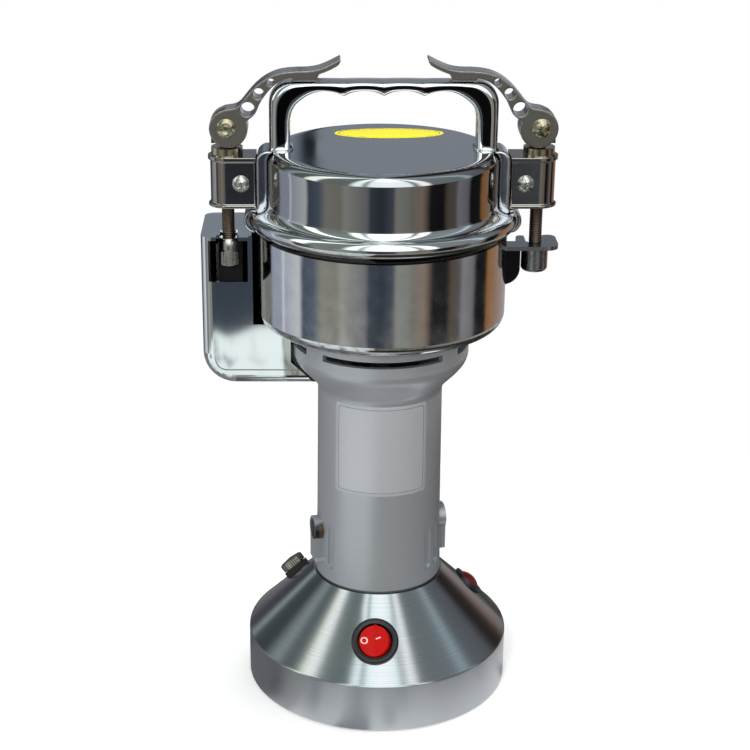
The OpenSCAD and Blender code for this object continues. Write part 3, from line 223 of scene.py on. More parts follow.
# its fibres are 1.1 mm wide, coarser than the real ones, so that they show
paper, tree, shader = new_finish("white_paper", "#f2f2f2", metallic=0.0, roughness=0.9)
grain_bump(tree, shader, grain_mm=1000 / 900, relief=0.05, depth_mm=0.2)
glow = add_node(tree, "Emission", {"Color": linear("#ffffff"), "Strength": 0.16})
both = add_node(tree, "AddShader", links={0: shader.outputs[0], 1: glow.outputs[0]})
position = add_node(tree, "NewGeometry").outputs["Position"]
distance = add_node(tree, "VectorMath", {"operation": "LENGTH"}, {0: position})
fade = add_node(tree, "MapRange", {"From Min": 0.18, "From Max": 0.34},
                {"Value": distance.outputs["Value"]})
clear = add_node(tree, "BsdfTransparent")
sheet = add_node(tree, "MixShader", links={
    0: fade.outputs["Result"], 1: both.outputs[0], 2: clear.outputs[0]})
# places on the rings' ramps are metres from the mill's middle; the dark rings are painted shade
near = [(0.06, "#ffffff"), (0.085, "#f4f4f8"), (0.098, "#6c6c70")]
left_shade_rings = add_node(tree, "ValToRGB", {"stops": near + [
    (0.125, "#68686c"), (0.16, "#dce4e2"), (0.45, "#eef4f2")
]}, {"Fac": distance.outputs["Value"]})
right_shade_rings = add_node(tree, "ValToRGB", {"stops": near + [
    (0.125, "#5a5a58"), (0.16, "#34332c"), (0.3, "#3c3b32"), (0.36, "#8a8c84"), (0.44, "#b4b8b2")
]}, {"Fac": distance.outputs["Value"]})
sides = add_node(tree, "SeparateXYZ", links={0: position})
rightward = add_node(tree, "MapRange", {"From Min": -0.055, "From Max": -0.04},
                     {"Value": sides.outputs["X"]})
# on the left the rings end beside the mill, and the painted reflection behind it is one even grey
beside = add_node(tree, "MapRange", {"From Min": -0.1, "From Max": -0.03},
                  {"Value": sides.outputs["Y"]})
left_painted_reflection = add_node(tree, "Mix", {"data_type": "RGBA", second_in: linear("#77777a")},
                      {share_in: beside.outputs["Result"], first_in: left_shade_rings.outputs["Color"]})
painted_reflection = add_node(tree, "Mix", {"data_type": "RGBA"},
                 {share_in: rightward.outputs["Result"], first_in: left_painted_reflection.outputs[mixed_out],
                  second_in: right_shade_rings.outputs["Color"]})
# soft darker patches, 26 mm wide, break the rings up
patches = add_node(tree, "TexNoise", {"Scale": 38.0, "Detail": 1.0},
                   {"Vector": add_node(tree, "TexCoord").outputs["Object"]})
patch_tone = add_node(tree, "ValToRGB", {"stops": [(0.36, "#94949c"), (0.44, "#ffffff")]},
                      {"Fac": patches.outputs[0]})
mirrored = add_node(tree, "Mix",
                    {"data_type": "RGBA", "blend_type": "MULTIPLY", share_in: 1.0},
                    {first_in: painted_reflection.outputs[mixed_out], second_in: patch_tone.outputs["Color"]})
# the painted reflection glows, and only glossy rays see it
shine = add_node(tree, "Emission", {"Strength": 1.25},
                 {"Color": mirrored.outputs[mixed_out]})
edge = add_node(tree, "MapRange", {"From Min": 0.476, "From Max": 0.484},
                {"Value": distance.outputs["Value"]})
reflection_disc = add_node(tree, "MixShader", links={
    0: edge.outputs["Result"], 1: shine.outputs[0], 2: clear.outputs[0]})
path = add_node(tree, "LightPath")
seen = add_node(tree, "MixShader", links={
    0: path.outputs["Is Glossy Ray"], 1: sheet.outputs[0], 2: reflection_disc.outputs[0]})
tree.links.new(seen.outputs[0], tree.get_output_node("ALL").inputs["Surface"])
floor_mesh.materials.append(paper)


# Foot pad: a die-cut disc of black rubber that grips the table, glued under the bottom plate.
# The plate is zinc-plated sheet, and four nickel-plated pan-head screws hold it.
def dress(finish, *nodes):
    """Gives CAD nodes a finish in every material slot."""
    for name in nodes:
        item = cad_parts[name]
        if not item.material_slots:
            item.data.materials.append(finish)
        for slot in item.material_slots:
            slot.material = finish


def drift_roughness(tree, shader, source, low, high, start=0.3, end=0.7):
    """Roughness that goes from low to high while source, an output, goes from start to end."""
    spread = add_node(tree, "MapRange", {
        "From Min": start, "From Max": end, "To Min": low, "To Max": high}, {"Value": source})
    tree.links.new(spread.outputs["Result"], shader.inputs["Roughness"])


def drift_colour(tree, shader, source, stops):
    """Base colour from a ramp over source, an output: pairs of place and hex colour."""
    ramp = add_node(tree, "ValToRGB", {"stops": stops}, {"Fac": source})
    tree.links.new(ramp.outputs["Color"], shader.inputs["Base Color"])


def grained(name, colour, roughness, grain_mm, relief, depth_mm=0.01, stretch=(1.0, 1.0, 1.0),
            detail=3.0, tones=None, gloss=None, metallic=0.0, **sockets):
    """A finish with a fine grain, as grain_bump makes it. By the same noise its base colour
    drifts between the two tones, or its roughness between the two numbers of gloss."""
    finish, tree, shader = new_finish(name, colour, metallic, roughness, **sockets)
    noise = grain_bump(tree, shader, grain_mm, relief, depth_mm, stretch, detail)
    if tones:
        drift_colour(tree, shader, noise, [(0.3, tones[0]), (0.7, tones[1])])
    if gloss:
        drift_roughness(tree, shader, noise, *gloss)
    return finish


foot_rubber = grained(
    "foot_rubber", "#202020", roughness=0.8, grain_mm=0.6, relief=0.4, depth_mm=0.05,
    tones=("#1a1a1a", "#262626"))
dress(foot_rubber, "foot_pad")

zinc_plate = grained(
    "zinc_plated_sheet", "#9a9c9e", metallic=1.0, roughness=0.42, grain_mm=1.2, relief=0.15,
    depth_mm=0.02, tones=("#8c8f92", "#a4a6a8"))
dress(zinc_plate, "bottom_plate", "switch_bracket")

nickel = grained(
    "nickel_plated_screws", "#c4c2bc", metallic=1.0, roughness=0.2, grain_mm=0.5, relief=0.08,
    gloss=(0.14, 0.3))
dress(nickel, "base_screws", "bowl_screws", "handle_screws")

# Base shell: a cone and skirt spun from aluminium sheet, brushed on the lathe, so the light lies in
# rays that run down the cone. The skirt is rubbed to a softer satin.
spun, tree, shader = new_finish("spun_aluminium", "#b4b7bb", metallic=1.0, roughness=0.3,
                                Anisotropic=0.85, Anisotropic_Rotation=0.25)
place = add_node(tree, "TexCoord")
parts = add_node(tree, "SeparateXYZ", links={0: place.outputs["Object"]})
tangent = add_node(tree, "Tangent", {"direction_type": "RADIAL", "axis": "Z"})
tree.links.new(tangent.outputs[0], shader.inputs["Tangent"])
rings = add_node(tree, "CombineXYZ", links={2: parts.outputs["Z"]})
# turning marks stand 0.35 mm apart, coarser than the real ones, so that they show
marks = add_node(tree, "TexNoise", {"Scale": 2900.0, "Detail": 2.0},
                 {"Vector": rings.outputs[0]})
marks_bump = add_node(tree, "Bump", {"Strength": 0.12, "Distance": 0.00002},
                      {"Height": marks.outputs[0]})
tree.links.new(marks_bump.outputs[0], shader.inputs["Normal"])
# the cone's foot is 0.0222 m up: satin below it, bright above
drift_roughness(tree, shader, parts.outputs["Z"], 0.36, 0.17, start=0.0215, end=0.0228)
drift_colour(tree, shader, marks.outputs[0], [(0.3, "#a0a4a8"), (0.7, "#b6babd")])
dress(spun, "base_shell")

# Cord gland and terminal block: moulded nylon parts of the mains entry, matt from the tool. The
# gland is screwed into the skirt, and the cream block is fixed inside the base.
black_nylon = grained(
    "moulded_black_nylon", "#1a1a1a", roughness=0.5, grain_mm=0.3, relief=0.2, depth_mm=0.02,
    gloss=(0.42, 0.58))
dress(black_nylon, "cord_gland", "microswitch", "cooling_fan")

cream = grained(
    "cream_polyamide", "#d8d4c4", roughness=0.45, grain_mm=0.4, relief=0.15, depth_mm=0.02,
    tones=("#d0ccba", "#dedacc"))
dress(cream, "terminal_block", "fuse_link")

# Power switch: a black moulded ring with a rocker of red polycarbonate. The rocker carries the
# usual circle for off and bar for on, in a thin white print that lets some red through.
def surface(name, points, body, finish, loop=False):
    """A closed skin over a grid of points (rows, columns, xyz), in mm. Each quad joins four
    neighbours and the last column meets the first. With loop the last row meets the first too,
    otherwise the first and last rows are closed by a fan to their mean. The skin is turned outwards
    by the sign of the volume it holds, the sum of a . (b x c) over its triangles."""
    rows, columns = points.shape[:2]
    corners = points.reshape(-1, 3) / 1000
    index = np.arange(rows * columns).reshape(rows, columns)
    index = np.hstack([index, index[:, :1]])
    if loop:
        index = np.vstack([index, index[:1]])
    quads = np.stack([index[:-1, :-1], index[:-1, 1:], index[1:, 1:], index[1:, :-1]], -1)
    quads = quads.reshape(-1, 4)
    triangles = np.vstack([quads[:, [0, 1, 2]], quads[:, [0, 2, 3]]])
    fans = np.zeros((0, 3), int)
    if not loop:
        middle = len(corners)
        corners = np.vstack([corners, points[0].mean(0) / 1000, points[-1].mean(0) / 1000])
        hub = np.full(columns, middle)
        fans = np.vstack([np.stack([hub, index[0, 1:], index[0, :-1]], -1),
                          np.stack([hub + 1, index[-1, :-1], index[-1, 1:]], -1)])
        triangles = np.vstack([triangles, fans])
    a, b, c = (corners[triangles[:, k]] for k in range(3))
    if (a * np.cross(b, c)).sum() < 0:
        quads, fans = quads[:, ::-1], fans[:, ::-1]
    mesh = bpy.data.meshes.new(name)
    mesh.from_pydata(corners.tolist(), [], quads.tolist() + fans.tolist())
    mesh.shade_smooth()
    mesh.set_sharp_from_angle(angle=math.radians(38))
    mesh.materials.append(finish)
    piece = bpy.data.objects.new(name, mesh)
    scene.collection.objects.link(piece)
    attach(piece, body)
    return piece


def layers(outline, steps, place):
    """Grid of a flat form: the outline (columns, 2) shrunk about its middle by each step's factor
    and lifted to each step's height, then carried to its place by place(across, along, height)."""
    middle = (outline.max(0) + outline.min(0)) / 2
    rows = [place(*(middle + (outline - middle) * factor).T, np.full(len(outline), height))
            for factor, height in steps]
    return np.stack(rows)


# the base's cone rises 28.8 mm over 29.3 mm inwards, from its foot at 58 mm out and 22.2 mm up
cone_rise, cone_run, foot_radius, foot_height = 28.8, 29.3, 58, 22.2
switch_bearing, switch_radius, rocker_axis = -93, 43.7, 1.2


def on_cone(bearing, radius, along, across, height):
    """Point on the base cone's own axes: down the slope, round the base and outwards, in mm. The
    frame stands at the bearing in degrees and the radius, tipped by the cone's angle."""
    tip = math.atan2(cone_rise, cone_run)
    out = radius + along * math.cos(tip) + height * math.sin(tip)
    up = (foot_height + (foot_radius - radius) * cone_rise / cone_run
          - along * math.sin(tip) + height * math.cos(tip))
    a = math.radians(bearing)
    return np.stack([out * math.cos(a) - across * math.sin(a),
                     out * math.sin(a) + across * math.cos(a), up], -1)


def on_rocker(along, across, height):
    """Point over the rocker's top, a shallow V that is tipped 7 degrees round the slope's line: it
    rises slowly over the near part of each half from its low middle, and then steeply."""
    low, near, slow_rise, outer, steep_rise = 2.2, 3.5, 0.4, 4.5, 1.6
    away = np.abs(across)
    top = height + np.where(away < near, low + slow_rise * away / near,
                            low + slow_rise + steep_rise * (away - near) / outer)
    tilt = math.radians(7)
    return on_cone(switch_bearing, switch_radius, along,
                   across * math.cos(tilt) - top * math.sin(tilt),
                   across * math.sin(tilt) + top * math.cos(tilt) - rocker_axis)


white_print = grained(
    "white_print", "#f0b8b4", roughness=0.35, grain_mm=0.3, relief=0.05,
    tones=("#e8a8a4", "#f4c4c0"))
turn = np.linspace(0, 2 * math.pi, 48, endpoint=False)
ring_across, print_high = -4.3, 0.04
ring = np.stack([np.cos(turn), np.sin(turn) + ring_across], -1)
band = [(0.98, 0.0), (0.98, print_high), (1.56, print_high), (1.56, 0.0)]
surface("off_mark", layers(ring, band, on_rocker), "power_rocker", white_print, loop=True)
# the bar is a superellipse, turned by 17 degrees
half_wide, half_long, bar_at = 0.3, 1.15, [-1.2, 1.7]
bar = np.stack([half_wide * np.sign(np.cos(turn)) * np.abs(np.cos(turn)) ** 0.3,
                half_long * np.sign(np.sin(turn)) * np.abs(np.sin(turn)) ** 0.25], -1)
slant = np.array([[0.95, 0.3], [-0.3, 0.95]])
steps = [(1.0, -0.05), (1.0, print_high), (0.5, print_high)]
surface("on_mark", layers(bar @ slant + bar_at, steps, on_rocker), "power_rocker", white_print)

switch_black = grained(
    "moulded_black_switch", "#17181a", roughness=0.36, grain_mm=0.25, relief=0.15,
    gloss=(0.3, 0.44))
dress(switch_black, "switch_bezel", "reset_body")

rocker_red = grained(
    "red_polycarbonate", "#ac0804", roughness=0.42, Specular_IOR_Level=0.22, grain_mm=0.8,
    relief=0.05, tones=("#a60703", "#b20a05"))
dress(rocker_red, "rocker", "microswitch_plunger")

# the reset button's red is darkened with painted shade, as the cone's edge shades it
button_red = grained(
    "red_button_painted_shade", "#5c0e12", roughness=0.3, grain_mm=0.5, relief=0.05,
    tones=("#540c10", "#641216"))
dress(button_red, "reset_button")


# Fuse holder: a black nylon body set in the cone, with a screw cap of smoky nickel. The cap is
# ridged round its grip and slotted for a coin.
def cut_in(size, limit, wall):
    """Depth share of a cut: 1 inside the limit, falling to 0 over the width of its wall, in mm."""
    return np.clip((limit - np.abs(size)) / wall + 0.5, 0, 1)


dress(black_nylon, "fuse_holder")
dark_nickel = grained(
    "smoky_nickel", "#8c857e", metallic=1.0, roughness=0.22, grain_mm=0.4, relief=0.1,
    gloss=(0.16, 0.3))
dress(dark_nickel, "fuse_cap")

columns, ridges, ridge_high = 180, 30, 0.25
round_cap = np.linspace(0, 2 * math.pi, columns, endpoint=False)
ridge = ridge_high * np.abs(np.sin(ridges / 2 * round_cap))
# each row is a radius, a height and the share of a ridge that stands out there; the top falls
# away by 0.14 mm in each mm
rows = [(3.6, -5.5, 0), (3.6, 2.1, 0), (5.5, 2.1, 1), (5.55, 2.4, 1), (5.55, 5.2, 1),
        (5.1, 5.5, 0.4), (4.8, 5.9, 0)]
rows += [(r, 6.5 - 0.14 * r, 0) for r in np.linspace(4.5, 0.2, 22)]
radius = np.array([r + grip * ridge for r, z, grip in rows])
height = np.repeat(np.array([[z] for r, z, grip in rows]), columns, 1)
along, across = radius * np.cos(round_cap), radius * np.sin(round_cap)
# the coin slot sinks 1 mm in the top, where across is under 0.6 mm to each side
slot_half, slot_above = 0.6, 5.8
slot = cut_in(across, slot_half, wall=0.12) * (height > slot_above)
fuse_bearing, fuse_radius = 152, 41.2
cap = surface("knurled_fuse_cap", on_cone(fuse_bearing, fuse_radius, along, across, height - slot),
              "fuse_screw_cap", dark_nickel)
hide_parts("fuse_cap")

# Motor housing: an aluminium casting, shot-blasted and sprayed satin silver. The paint lies over a
# faint cast grain, and grey and black rubber gaskets seal the neck's foot and the interlock cover.
grey_rubber = grained(
    "grey_seal_rubber", "#4a4d50", roughness=0.6, grain_mm=0.6, relief=0.3, depth_mm=0.04,
    tones=("#424548", "#525558"))
dress(grey_rubber, "neck_gasket")
dress(foot_rubber, "interlock_gasket")
silver_paint = grained(
    "satin_silver_paint", "#a4a8ac", metallic=0.6, roughness=0.34, grain_mm=0.35, relief=0.12,
    depth_mm=0.02, tones=("#9fa3a7", "#aaaeb2"))
dress(silver_paint, "motor_housing")


# Rating plate: a bare sheet of satin aluminium foil, glued round the front of the neck and printed
# with a thin frame line.
def round_corners(width, height, corner, count):
    """Outline of a rectangle with round corners: a circle's points pushed out to the four corners'
    centres, by the signs of their sine and cosine."""
    t = (np.arange(count) + 0.5) * 2 * math.pi / count
    return np.stack([corner * np.cos(t) + np.sign(np.cos(t)) * (width / 2 - corner),
                     corner * np.sin(t) + np.sign(np.sin(t)) * (height / 2 - corner)], -1)


def fill_in(outline, count):
    """The outline with count points set evenly along each of its long straight runs."""
    ends = np.vstack([outline, outline[:1]])
    step = np.hypot(*np.diff(ends, axis=0).T)
    long_run = 3
    return np.vstack([np.linspace(a, b, count if d > long_run else 1, endpoint=False)
                      for a, b, d in zip(ends[:-1], ends[1:], step)])


def on_neck(across, up, height):
    """Point on the neck, which narrows from 27.2 mm to 26.8 mm between 78 and 138 mm up; across is
    the arc length from the front."""
    foot_r, foot_up, narrowing, length, mean_r = 27.2, 78, 0.4, 60, 27
    radius = foot_r - narrowing * (up - foot_up) / length + height
    a = across / mean_r - math.pi / 2
    return np.stack([radius * np.cos(a), radius * np.sin(a), up], -1)


foil = grained(
    "satin_foil_label", "#a8aaae", metallic=0.35, roughness=0.36, grain_mm=0.5, relief=0.05,
    tones=("#a4a6aa", "#adafb3"))
plate_up, foil_thick = 117.7, 0.14
label = fill_in(round_corners(42.8, 41.0, corner=1.6, count=40), 24) + [0, plate_up]
steps = [(1.0, -0.05), (1.0, 0.1), (0.994, foil_thick)]
steps += [(k, foil_thick) for k in np.linspace(0.9, 0.05, 12)]
surface("rating_plate", layers(label, steps, on_neck), "mill", foil)
grey_print = grained(
    "grey_print", "#6e7074", roughness=0.4, grain_mm=0.3, relief=0.05, tones=("#66686c", "#767a7e"))
line = fill_in(round_corners(39.6, 38.4, corner=1.4, count=40), 24)
line_steps = [(1.0, 0.12), (1.0, 0.165), (0.985, 0.165), (0.985, 0.12)]
surface("rating_plate_frame",
        layers(line, line_steps, lambda across, up, height: on_neck(across, up + plate_up, height)),
        "mill", grey_print, loop=True)

# Brush caps: two screw caps of moulded black phenolic, glossy from the tool. They sit in the bosses
# on the neck's sides and hold the carbon brushes in.
black_phenolic = grained(
    "black_phenolic", "#111111", roughness=0.22, grain_mm=0.4, relief=0.1, gloss=(0.18, 0.3))
dress(black_phenolic, "brush_caps")

# Motor: windings of enamelled copper on cores of stacked sheet steel, and pressed carbon brushes in
# brown phenolic holders. The shaft runs in two ground steel bearings, all inside the neck.
copper = grained(
    "enamelled_copper", "#b4622a", metallic=0.7, roughness=0.35, grain_mm=0.5, relief=0.8,
    depth_mm=0.2, stretch=(1.0, 1.0, 0.05), tones=("#8f4a1e", "#c8763a"))
dress(copper, "field_coils", "armature_winding", "commutator")

laminations = grained(
    "stacked_core_steel", "#767a80", metallic=1.0, roughness=0.4, grain_mm=0.5, relief=0.5,
    depth_mm=0.05, stretch=(0.02, 0.02, 1.0), tones=("#63676c", "#868a90"))
dress(laminations, "stator_core", "armature_core")

resin = grained(
    "brown_phenolic", "#3a2a1c", roughness=0.4, grain_mm=0.6, relief=0.1,
    tones=("#33241a", "#453222"))
dress(resin, "brush_holders")

carbon = grained(
    "pressed_carbon", "#2e2e30", metallic=0.1, roughness=0.6, grain_mm=0.2, relief=0.3,
    depth_mm=0.02, tones=("#28282a", "#383838"))
dress(carbon, "carbon_brushes")

machined = grained(
    "machined_aluminium", "#bcbec0", metallic=1.0, roughness=0.32, grain_mm=0.4, relief=0.15,
    depth_mm=0.02, gloss=(0.26, 0.4))
dress(machined, "bearing_bridge", "bowl_carrier", "motor_shaft", "blade_hub")

bearing_steel = grained(
    "ground_bearing_steel", "#c6c8ca", metallic=1.0, roughness=0.14, grain_mm=0.5, relief=0.05,
    gloss=(0.1, 0.2))
dress(bearing_steel, "lower_bearing", "upper_bearing")

# Bowl: deep-drawn stainless steel, buffed to a mirror. The sheet keeps a slow wave, 36 mm long, and
# a faint haze from the buffing wheel, in patches of 6 mm.
wave_mm, haze_mm = 1000 / 28, 1000 / 160
stainless, tree, shader = new_finish("mirror_stainless", "#cdcfd2", metallic=1.0, roughness=0.1)
grain_bump(tree, shader, wave_mm, relief=0.1, depth_mm=0.4, detail=1.0)
haze = add_node(tree, "TexNoise", {"Scale": 1000 / haze_mm, "Detail": 4.0},
                {"Vector": add_node(tree, "TexCoord").outputs["Object"]}).outputs[0]
drift_roughness(tree, shader, haze, 0.07, 0.14)
drift_colour(tree, shader, haze, [(0.3, "#c6c8cb"), (0.7, "#d2d4d6")])
dress(stainless, "bowl")


# Lid: the same steel, spun to a round edge and a rolled bead. Its colour is painted by height:
# painted shade on the seam below the bead, painted highlights on the bead and on the top's round
# edge, and the wall a shade darker between them. Its gasket is moulded white silicone.
def height_between(tree, bottom, top):
    """0 at the height bottom and 1 at top, in metres, in Object space."""
    place = add_node(tree, "TexCoord")
    level = add_node(tree, "SeparateXYZ", links={0: place.outputs["Object"]})
    share = add_node(tree, "MapRange", {"From Min": bottom, "From Max": top},
                     {"Value": level.outputs["Z"]})
    return share.outputs["Result"]


lid_steel, tree, shader = new_finish("mirror_stainless_lid", "#b8babc", metallic=1.0, roughness=0.1)
wave = grain_bump(tree, shader, wave_mm, relief=0.05, depth_mm=0.4, detail=1.0)
drift_roughness(tree, shader, wave, 0.04, 0.09)
# painted shade below the bead, and painted highlights on the bead and the top's round edge
drift_colour(tree, shader, height_between(tree, 0.208, 0.244), [
    (0.0, "#2c2a28"), (0.09, "#34322e"), (0.13, "#b4b6b8"), (0.3, "#d8dadc"), (0.36, "#a8aaac"),
    (0.9, "#a8aaac"), (0.955, "#dcdee0")])


def turned(name, at, profile, body, finish, columns=48, grip=None, loop=False, along_y=False):
    """A body of revolution about Z or Y: each profile row is a radius and a place along the axis,
    and the row's third value is the share of grip(angle) that is added to the radius."""
    t = np.linspace(0, 2 * math.pi, columns, endpoint=False)
    rows = np.array(profile, float)
    radius = rows[:, :1] + (rows[:, 2:3] * grip(t) if grip else 0 * t)
    points = np.stack([radius * np.cos(t), radius * np.sin(t),
                       np.repeat(rows[:, 1:2], columns, 1)], -1)
    if along_y:
        points = points[..., [0, 2, 1]]
    return surface(name, points + np.array(at), body, finish, loop=loop)


def bow(across, up, radius, first, last, count):
    """Rows of a profile on a circle about (across, up), from the first to the last angle in
    degrees."""
    t = np.radians(np.linspace(first, last, count))
    return list(zip(across + radius * np.cos(t), up + radius * np.sin(t)))


lid_top, lid_under, pole, bead_radius = 242.8, 241.3, 0.05, 3.7
# the top, its round edge, the wall and the hollow above the bead
profile = [(r, lid_top) for r in (pole, 12, 24, 36, 41)] + bow(43, 237.8, 5, 90, 0, 16)
profile += [(48, 230)] + bow(52.2, 220.9, 4.2, 180, 309, 16)
# the bead, and the seam and the gasket's groove below it
profile += bow(52.6, 214.7, bead_radius, 50, -88, 26)
profile += [(52.4, 210.4), (52.4, 208.8), (51.7, 208.8), (51.7, 210.9), (50.3, 210.9),
            (50.3, 204.2), (48.7, 204.2), (48.7, 214.7), (46.5, 218.7)]
# the inside
profile += bow(42.7, 237.5, 3.8, 0, 90, 10) + [(24, lid_under), (pole, lid_under)]
lid = turned("spun_lid", (0, 0, 0), profile, "lid", lid_steel, columns=240, loop=True)
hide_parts("lid_shell")

white_seal = grained(
    "white_silicone", "#e4e2d8", roughness=0.45, grain_mm=0.8, relief=0.1, depth_mm=0.02,
    tones=("#dcdace", "#e8e6dc"))
dress(white_seal, "shaft_seal", "lid_gasket")

# Blades: ground from stainless strip, with the wheel's marks across them, and clamped on their hub
# by a nut.
ground = grained(
    "ground_blade_steel", "#c4c8cc", metallic=1.0, roughness=0.24, grain_mm=0.3, relief=0.2,
    depth_mm=0.02, stretch=(1.0, 0.08, 1.0), gloss=(0.18, 0.34))
dress(ground, "lower_blade", "upper_blade", "blade_nut")

# Lug: a steel forging, welded to the bowl. Its fork is rubbed to a satin, and the web below it, up
# to 200 mm above the table, is painted near black as shade under the fork.
lug_steel, tree, shader = new_finish("lug_steel_painted_shade", "#66686b", metallic=1.0, roughness=0.22)
grain_bump(tree, shader, grain_mm=1.4, relief=0.3, depth_mm=0.06)
# painted shade: the web below the fork, up to 200 mm, is near black
drift_colour(tree, shader, height_between(tree, 0.2003, 0.201),
             [(0.0, "#2c2c2e"), (1.0, "#a8a8ac")])
dress(lug_steel, "lug")

# Lid sticker: an oval of glossy yellow paper, glued on the lid's top behind its middle. It is bare
# but for a thin printed ring.
yellow = grained(
    "yellow_sticker", "#efe21e", roughness=0.3, grain_mm=0.8, relief=0.05,
    tones=("#eadc1c", "#f2e624"))
olive = grained(
    "olive_print", "#8a7c14", roughness=0.4, grain_mm=0.3, relief=0.05,
    tones=("#80720f", "#94861c"))
turn = np.linspace(0, 2 * math.pi, 120, endpoint=False)
half_wide, half_deep = 23.25, 8.7
oval = np.stack([half_wide * np.cos(turn), half_deep * np.sin(turn)], -1)


def on_lid(across, along, height):
    """Point over the lid's flat top, from the sticker's middle."""
    right, back = 3.4, 25.5
    return np.stack([right + across, back + along, lid_top + height], -1)


steps = [(1.0, -0.02), (1.0, 0.1), (0.99, 0.13), (0.5, 0.13), (0.1, 0.13)]
surface("lid_sticker", layers(oval, steps, on_lid), "lid", yellow)
steps = [(0.93, 0.1), (0.93, 0.15), (0.91, 0.15), (0.91, 0.1)]
surface("lid_sticker_ring", layers(oval, steps, on_lid), "lid", olive, loop=True)

# Interlock cover: pressed sheet under mirror chrome, with painted shade, near black, on its inside
# faces. The sheet was drawn deep, so it buckles in slow waves, 26 mm wide and five times as high.
wavy_chrome, tree, shader = new_finish("wavy_mirror_chrome", "#dfe4e6", metallic=1.0,
                                       roughness=0.05)
place = add_node(tree, "TexCoord")
upright = add_node(tree, "Mapping", {"Scale": (1.0, 1.0, 0.2)},
                   {"Vector": place.outputs["Object"]})
buckle = add_node(tree, "TexNoise", {"Scale": 38.0, "Detail": 1.0, "Distortion": 0.6},
                  {"Vector": upright.outputs[0]})
buckle_bump = add_node(tree, "Bump", {"Strength": 1.0, "Distance": 0.0018},
                       {"Height": buckle.outputs[0]})
tree.links.new(buckle_bump.outputs[0], shader.inputs["Normal"])
drift_roughness(tree, shader, buckle.outputs[0], 0.03, 0.07)
# a face is on the inside where its normal points to the middle of the cover's box; it gets painted
# shade
box_middle = (-0.064, 0.012, 0.16)
from_middle = add_node(tree, "VectorMath", {"operation": "SUBTRACT", 1: box_middle},
                       {0: place.outputs["Object"]})
outward = add_node(tree, "VectorMath", {"operation": "DOT_PRODUCT"},
                   {0: from_middle.outputs[0], 1: place.outputs["Normal"]})
unshaded_outside = add_node(tree, "MapRange", {"From Min": -0.0002, "From Max": 0.0002},
                  {"Value": outward.outputs["Value"]})
drift_colour(tree, shader, unshaded_outside.outputs["Result"], [(0.0, "#0c0c0d"), (1.0, "#dfe4e6")])
dress(wavy_chrome, "interlock_cover")

# Handle: a zinc casting with a round-edged grip, four finger hollows below the bar and a shallow
# channel in each face.
post_in, post_out, bar_low, bar_top = 38.2, 46.7, 265.2, 270.7
# each hollow is an arc, finger wide and finger_deep deep; two lie on each side of the middle
finger, finger_deep = 16.1, 2.2
finger_radius = (finger ** 2 / 4 + finger_deep ** 2) / (2 * finger_deep)
finger_crown = bar_low + finger_deep
half_angle = math.asin(finger / 2 / finger_radius)
hollow = np.linspace(math.pi / 2 - half_angle, math.pi / 2 + half_angle, 20)
# from the post to the last hollow runs a cubic curve through seven knots
side = post_in - finger
knots = np.array([[post_in, 254.4], [post_in - 0.04 * side, 258.9], [post_in - 0.15 * side, 262.6],
                  [post_in - 0.38 * side, 266.0], [post_in - 0.62 * side, 267.3],
                  [post_in - 0.84 * side, 266.7], [finger, bar_low]])
padded_knots = np.vstack([knots[:1], knots, knots[-1:]])
part = np.linspace(0, 1, 9)[:-1, None]
inner = []
for a, b, c, d in zip(padded_knots, padded_knots[1:], padded_knots[2:], padded_knots[3:]):
    inner.append(0.5 * (2 * b + (c - a) * part + (2 * a - 5 * b + 4 * c - d) * part ** 2
                        + (3 * b - a - 3 * c + d) * part ** 3))
arc = np.stack([finger / 2 + finger_radius * np.cos(hollow),
                finger_crown - finger_radius + finger_radius * np.sin(hollow)], -1)
inner = np.vstack([[[post_in, lid_top]], np.vstack(inner), arc])
corner = 9
corner_x, corner_z = post_out - corner, bar_top - corner
bend = np.linspace(0, math.pi / 2, 24)
corner_line = np.stack([corner_x + corner * np.cos(bend), corner_z + corner * np.sin(bend)], -1)
outer = np.vstack([[[post_out, lid_top]], corner_line, [[0, bar_top]]])


def walk(path, marks, counts):
    """Points along a path, spaced evenly between the points nearest to the marks."""
    run = np.concatenate([[0], np.cumsum(np.hypot(*np.diff(path, axis=0).T))])
    fine = np.linspace(0, run[-1], 4000)
    dense = np.stack([np.interp(fine, run, path[:, k]) for k in (0, 1)], -1)
    stops = [fine[np.argmin(np.hypot(*(dense - m).T))] for m in marks]
    where = np.concatenate([np.linspace(a, b, n, endpoint=False)
                            for a, b, n in zip(stops[:-1], stops[1:], counts)] + [stops[-1:]])
    return np.stack([np.interp(where, run, path[:, k]) for k in (0, 1)], -1)


# steps along the post, round the corner, to the last hollow and along the two hollows
counts = (14, 40, 30, 36)
inside = walk(inner, [(post_in, lid_top), (post_in, 254.4), (29.8, 266.0), (finger, bar_low),
                      (0, bar_low)], counts)
outside = walk(outer, [(post_out, lid_top), (post_out, 256.0), (corner_x, bar_top),
                       (finger, bar_top), (0, bar_top)], counts)
mirror = np.array([-1, 1])
inside = np.vstack([inside, (inside * mirror)[-2::-1]])
outside = np.vstack([outside, (outside * mirror)[-2::-1]])
thick = np.hypot(*(outside - inside).T)[:, None]
# the channel lies from low to high, measured from the inside face: its lip is 0.6 mm where the bar
# is thinnest and deeper where it is thick. Between the fingers the lip is deeper again, so that the
# channel runs straight there.
thinnest, half_width, floor_half = 3.3, 6, 4.9
low = 0.6 + 0.09 * (thick - thinnest) + np.clip((thick - 5.5) / 3, 0, 1)
by_fingers = np.clip((17.6 - np.abs(inside[:, :1])) / 2, 0, 1)
low += by_fingers * (0.4 + 0.5 * (thick - thinnest))
high = 0.64 * thick - 0.2
soft_in, soft_out = np.minimum(low - 0.2, 1.3), thick - high - 0.3
quarter = np.linspace(0, math.pi / 2, 6)
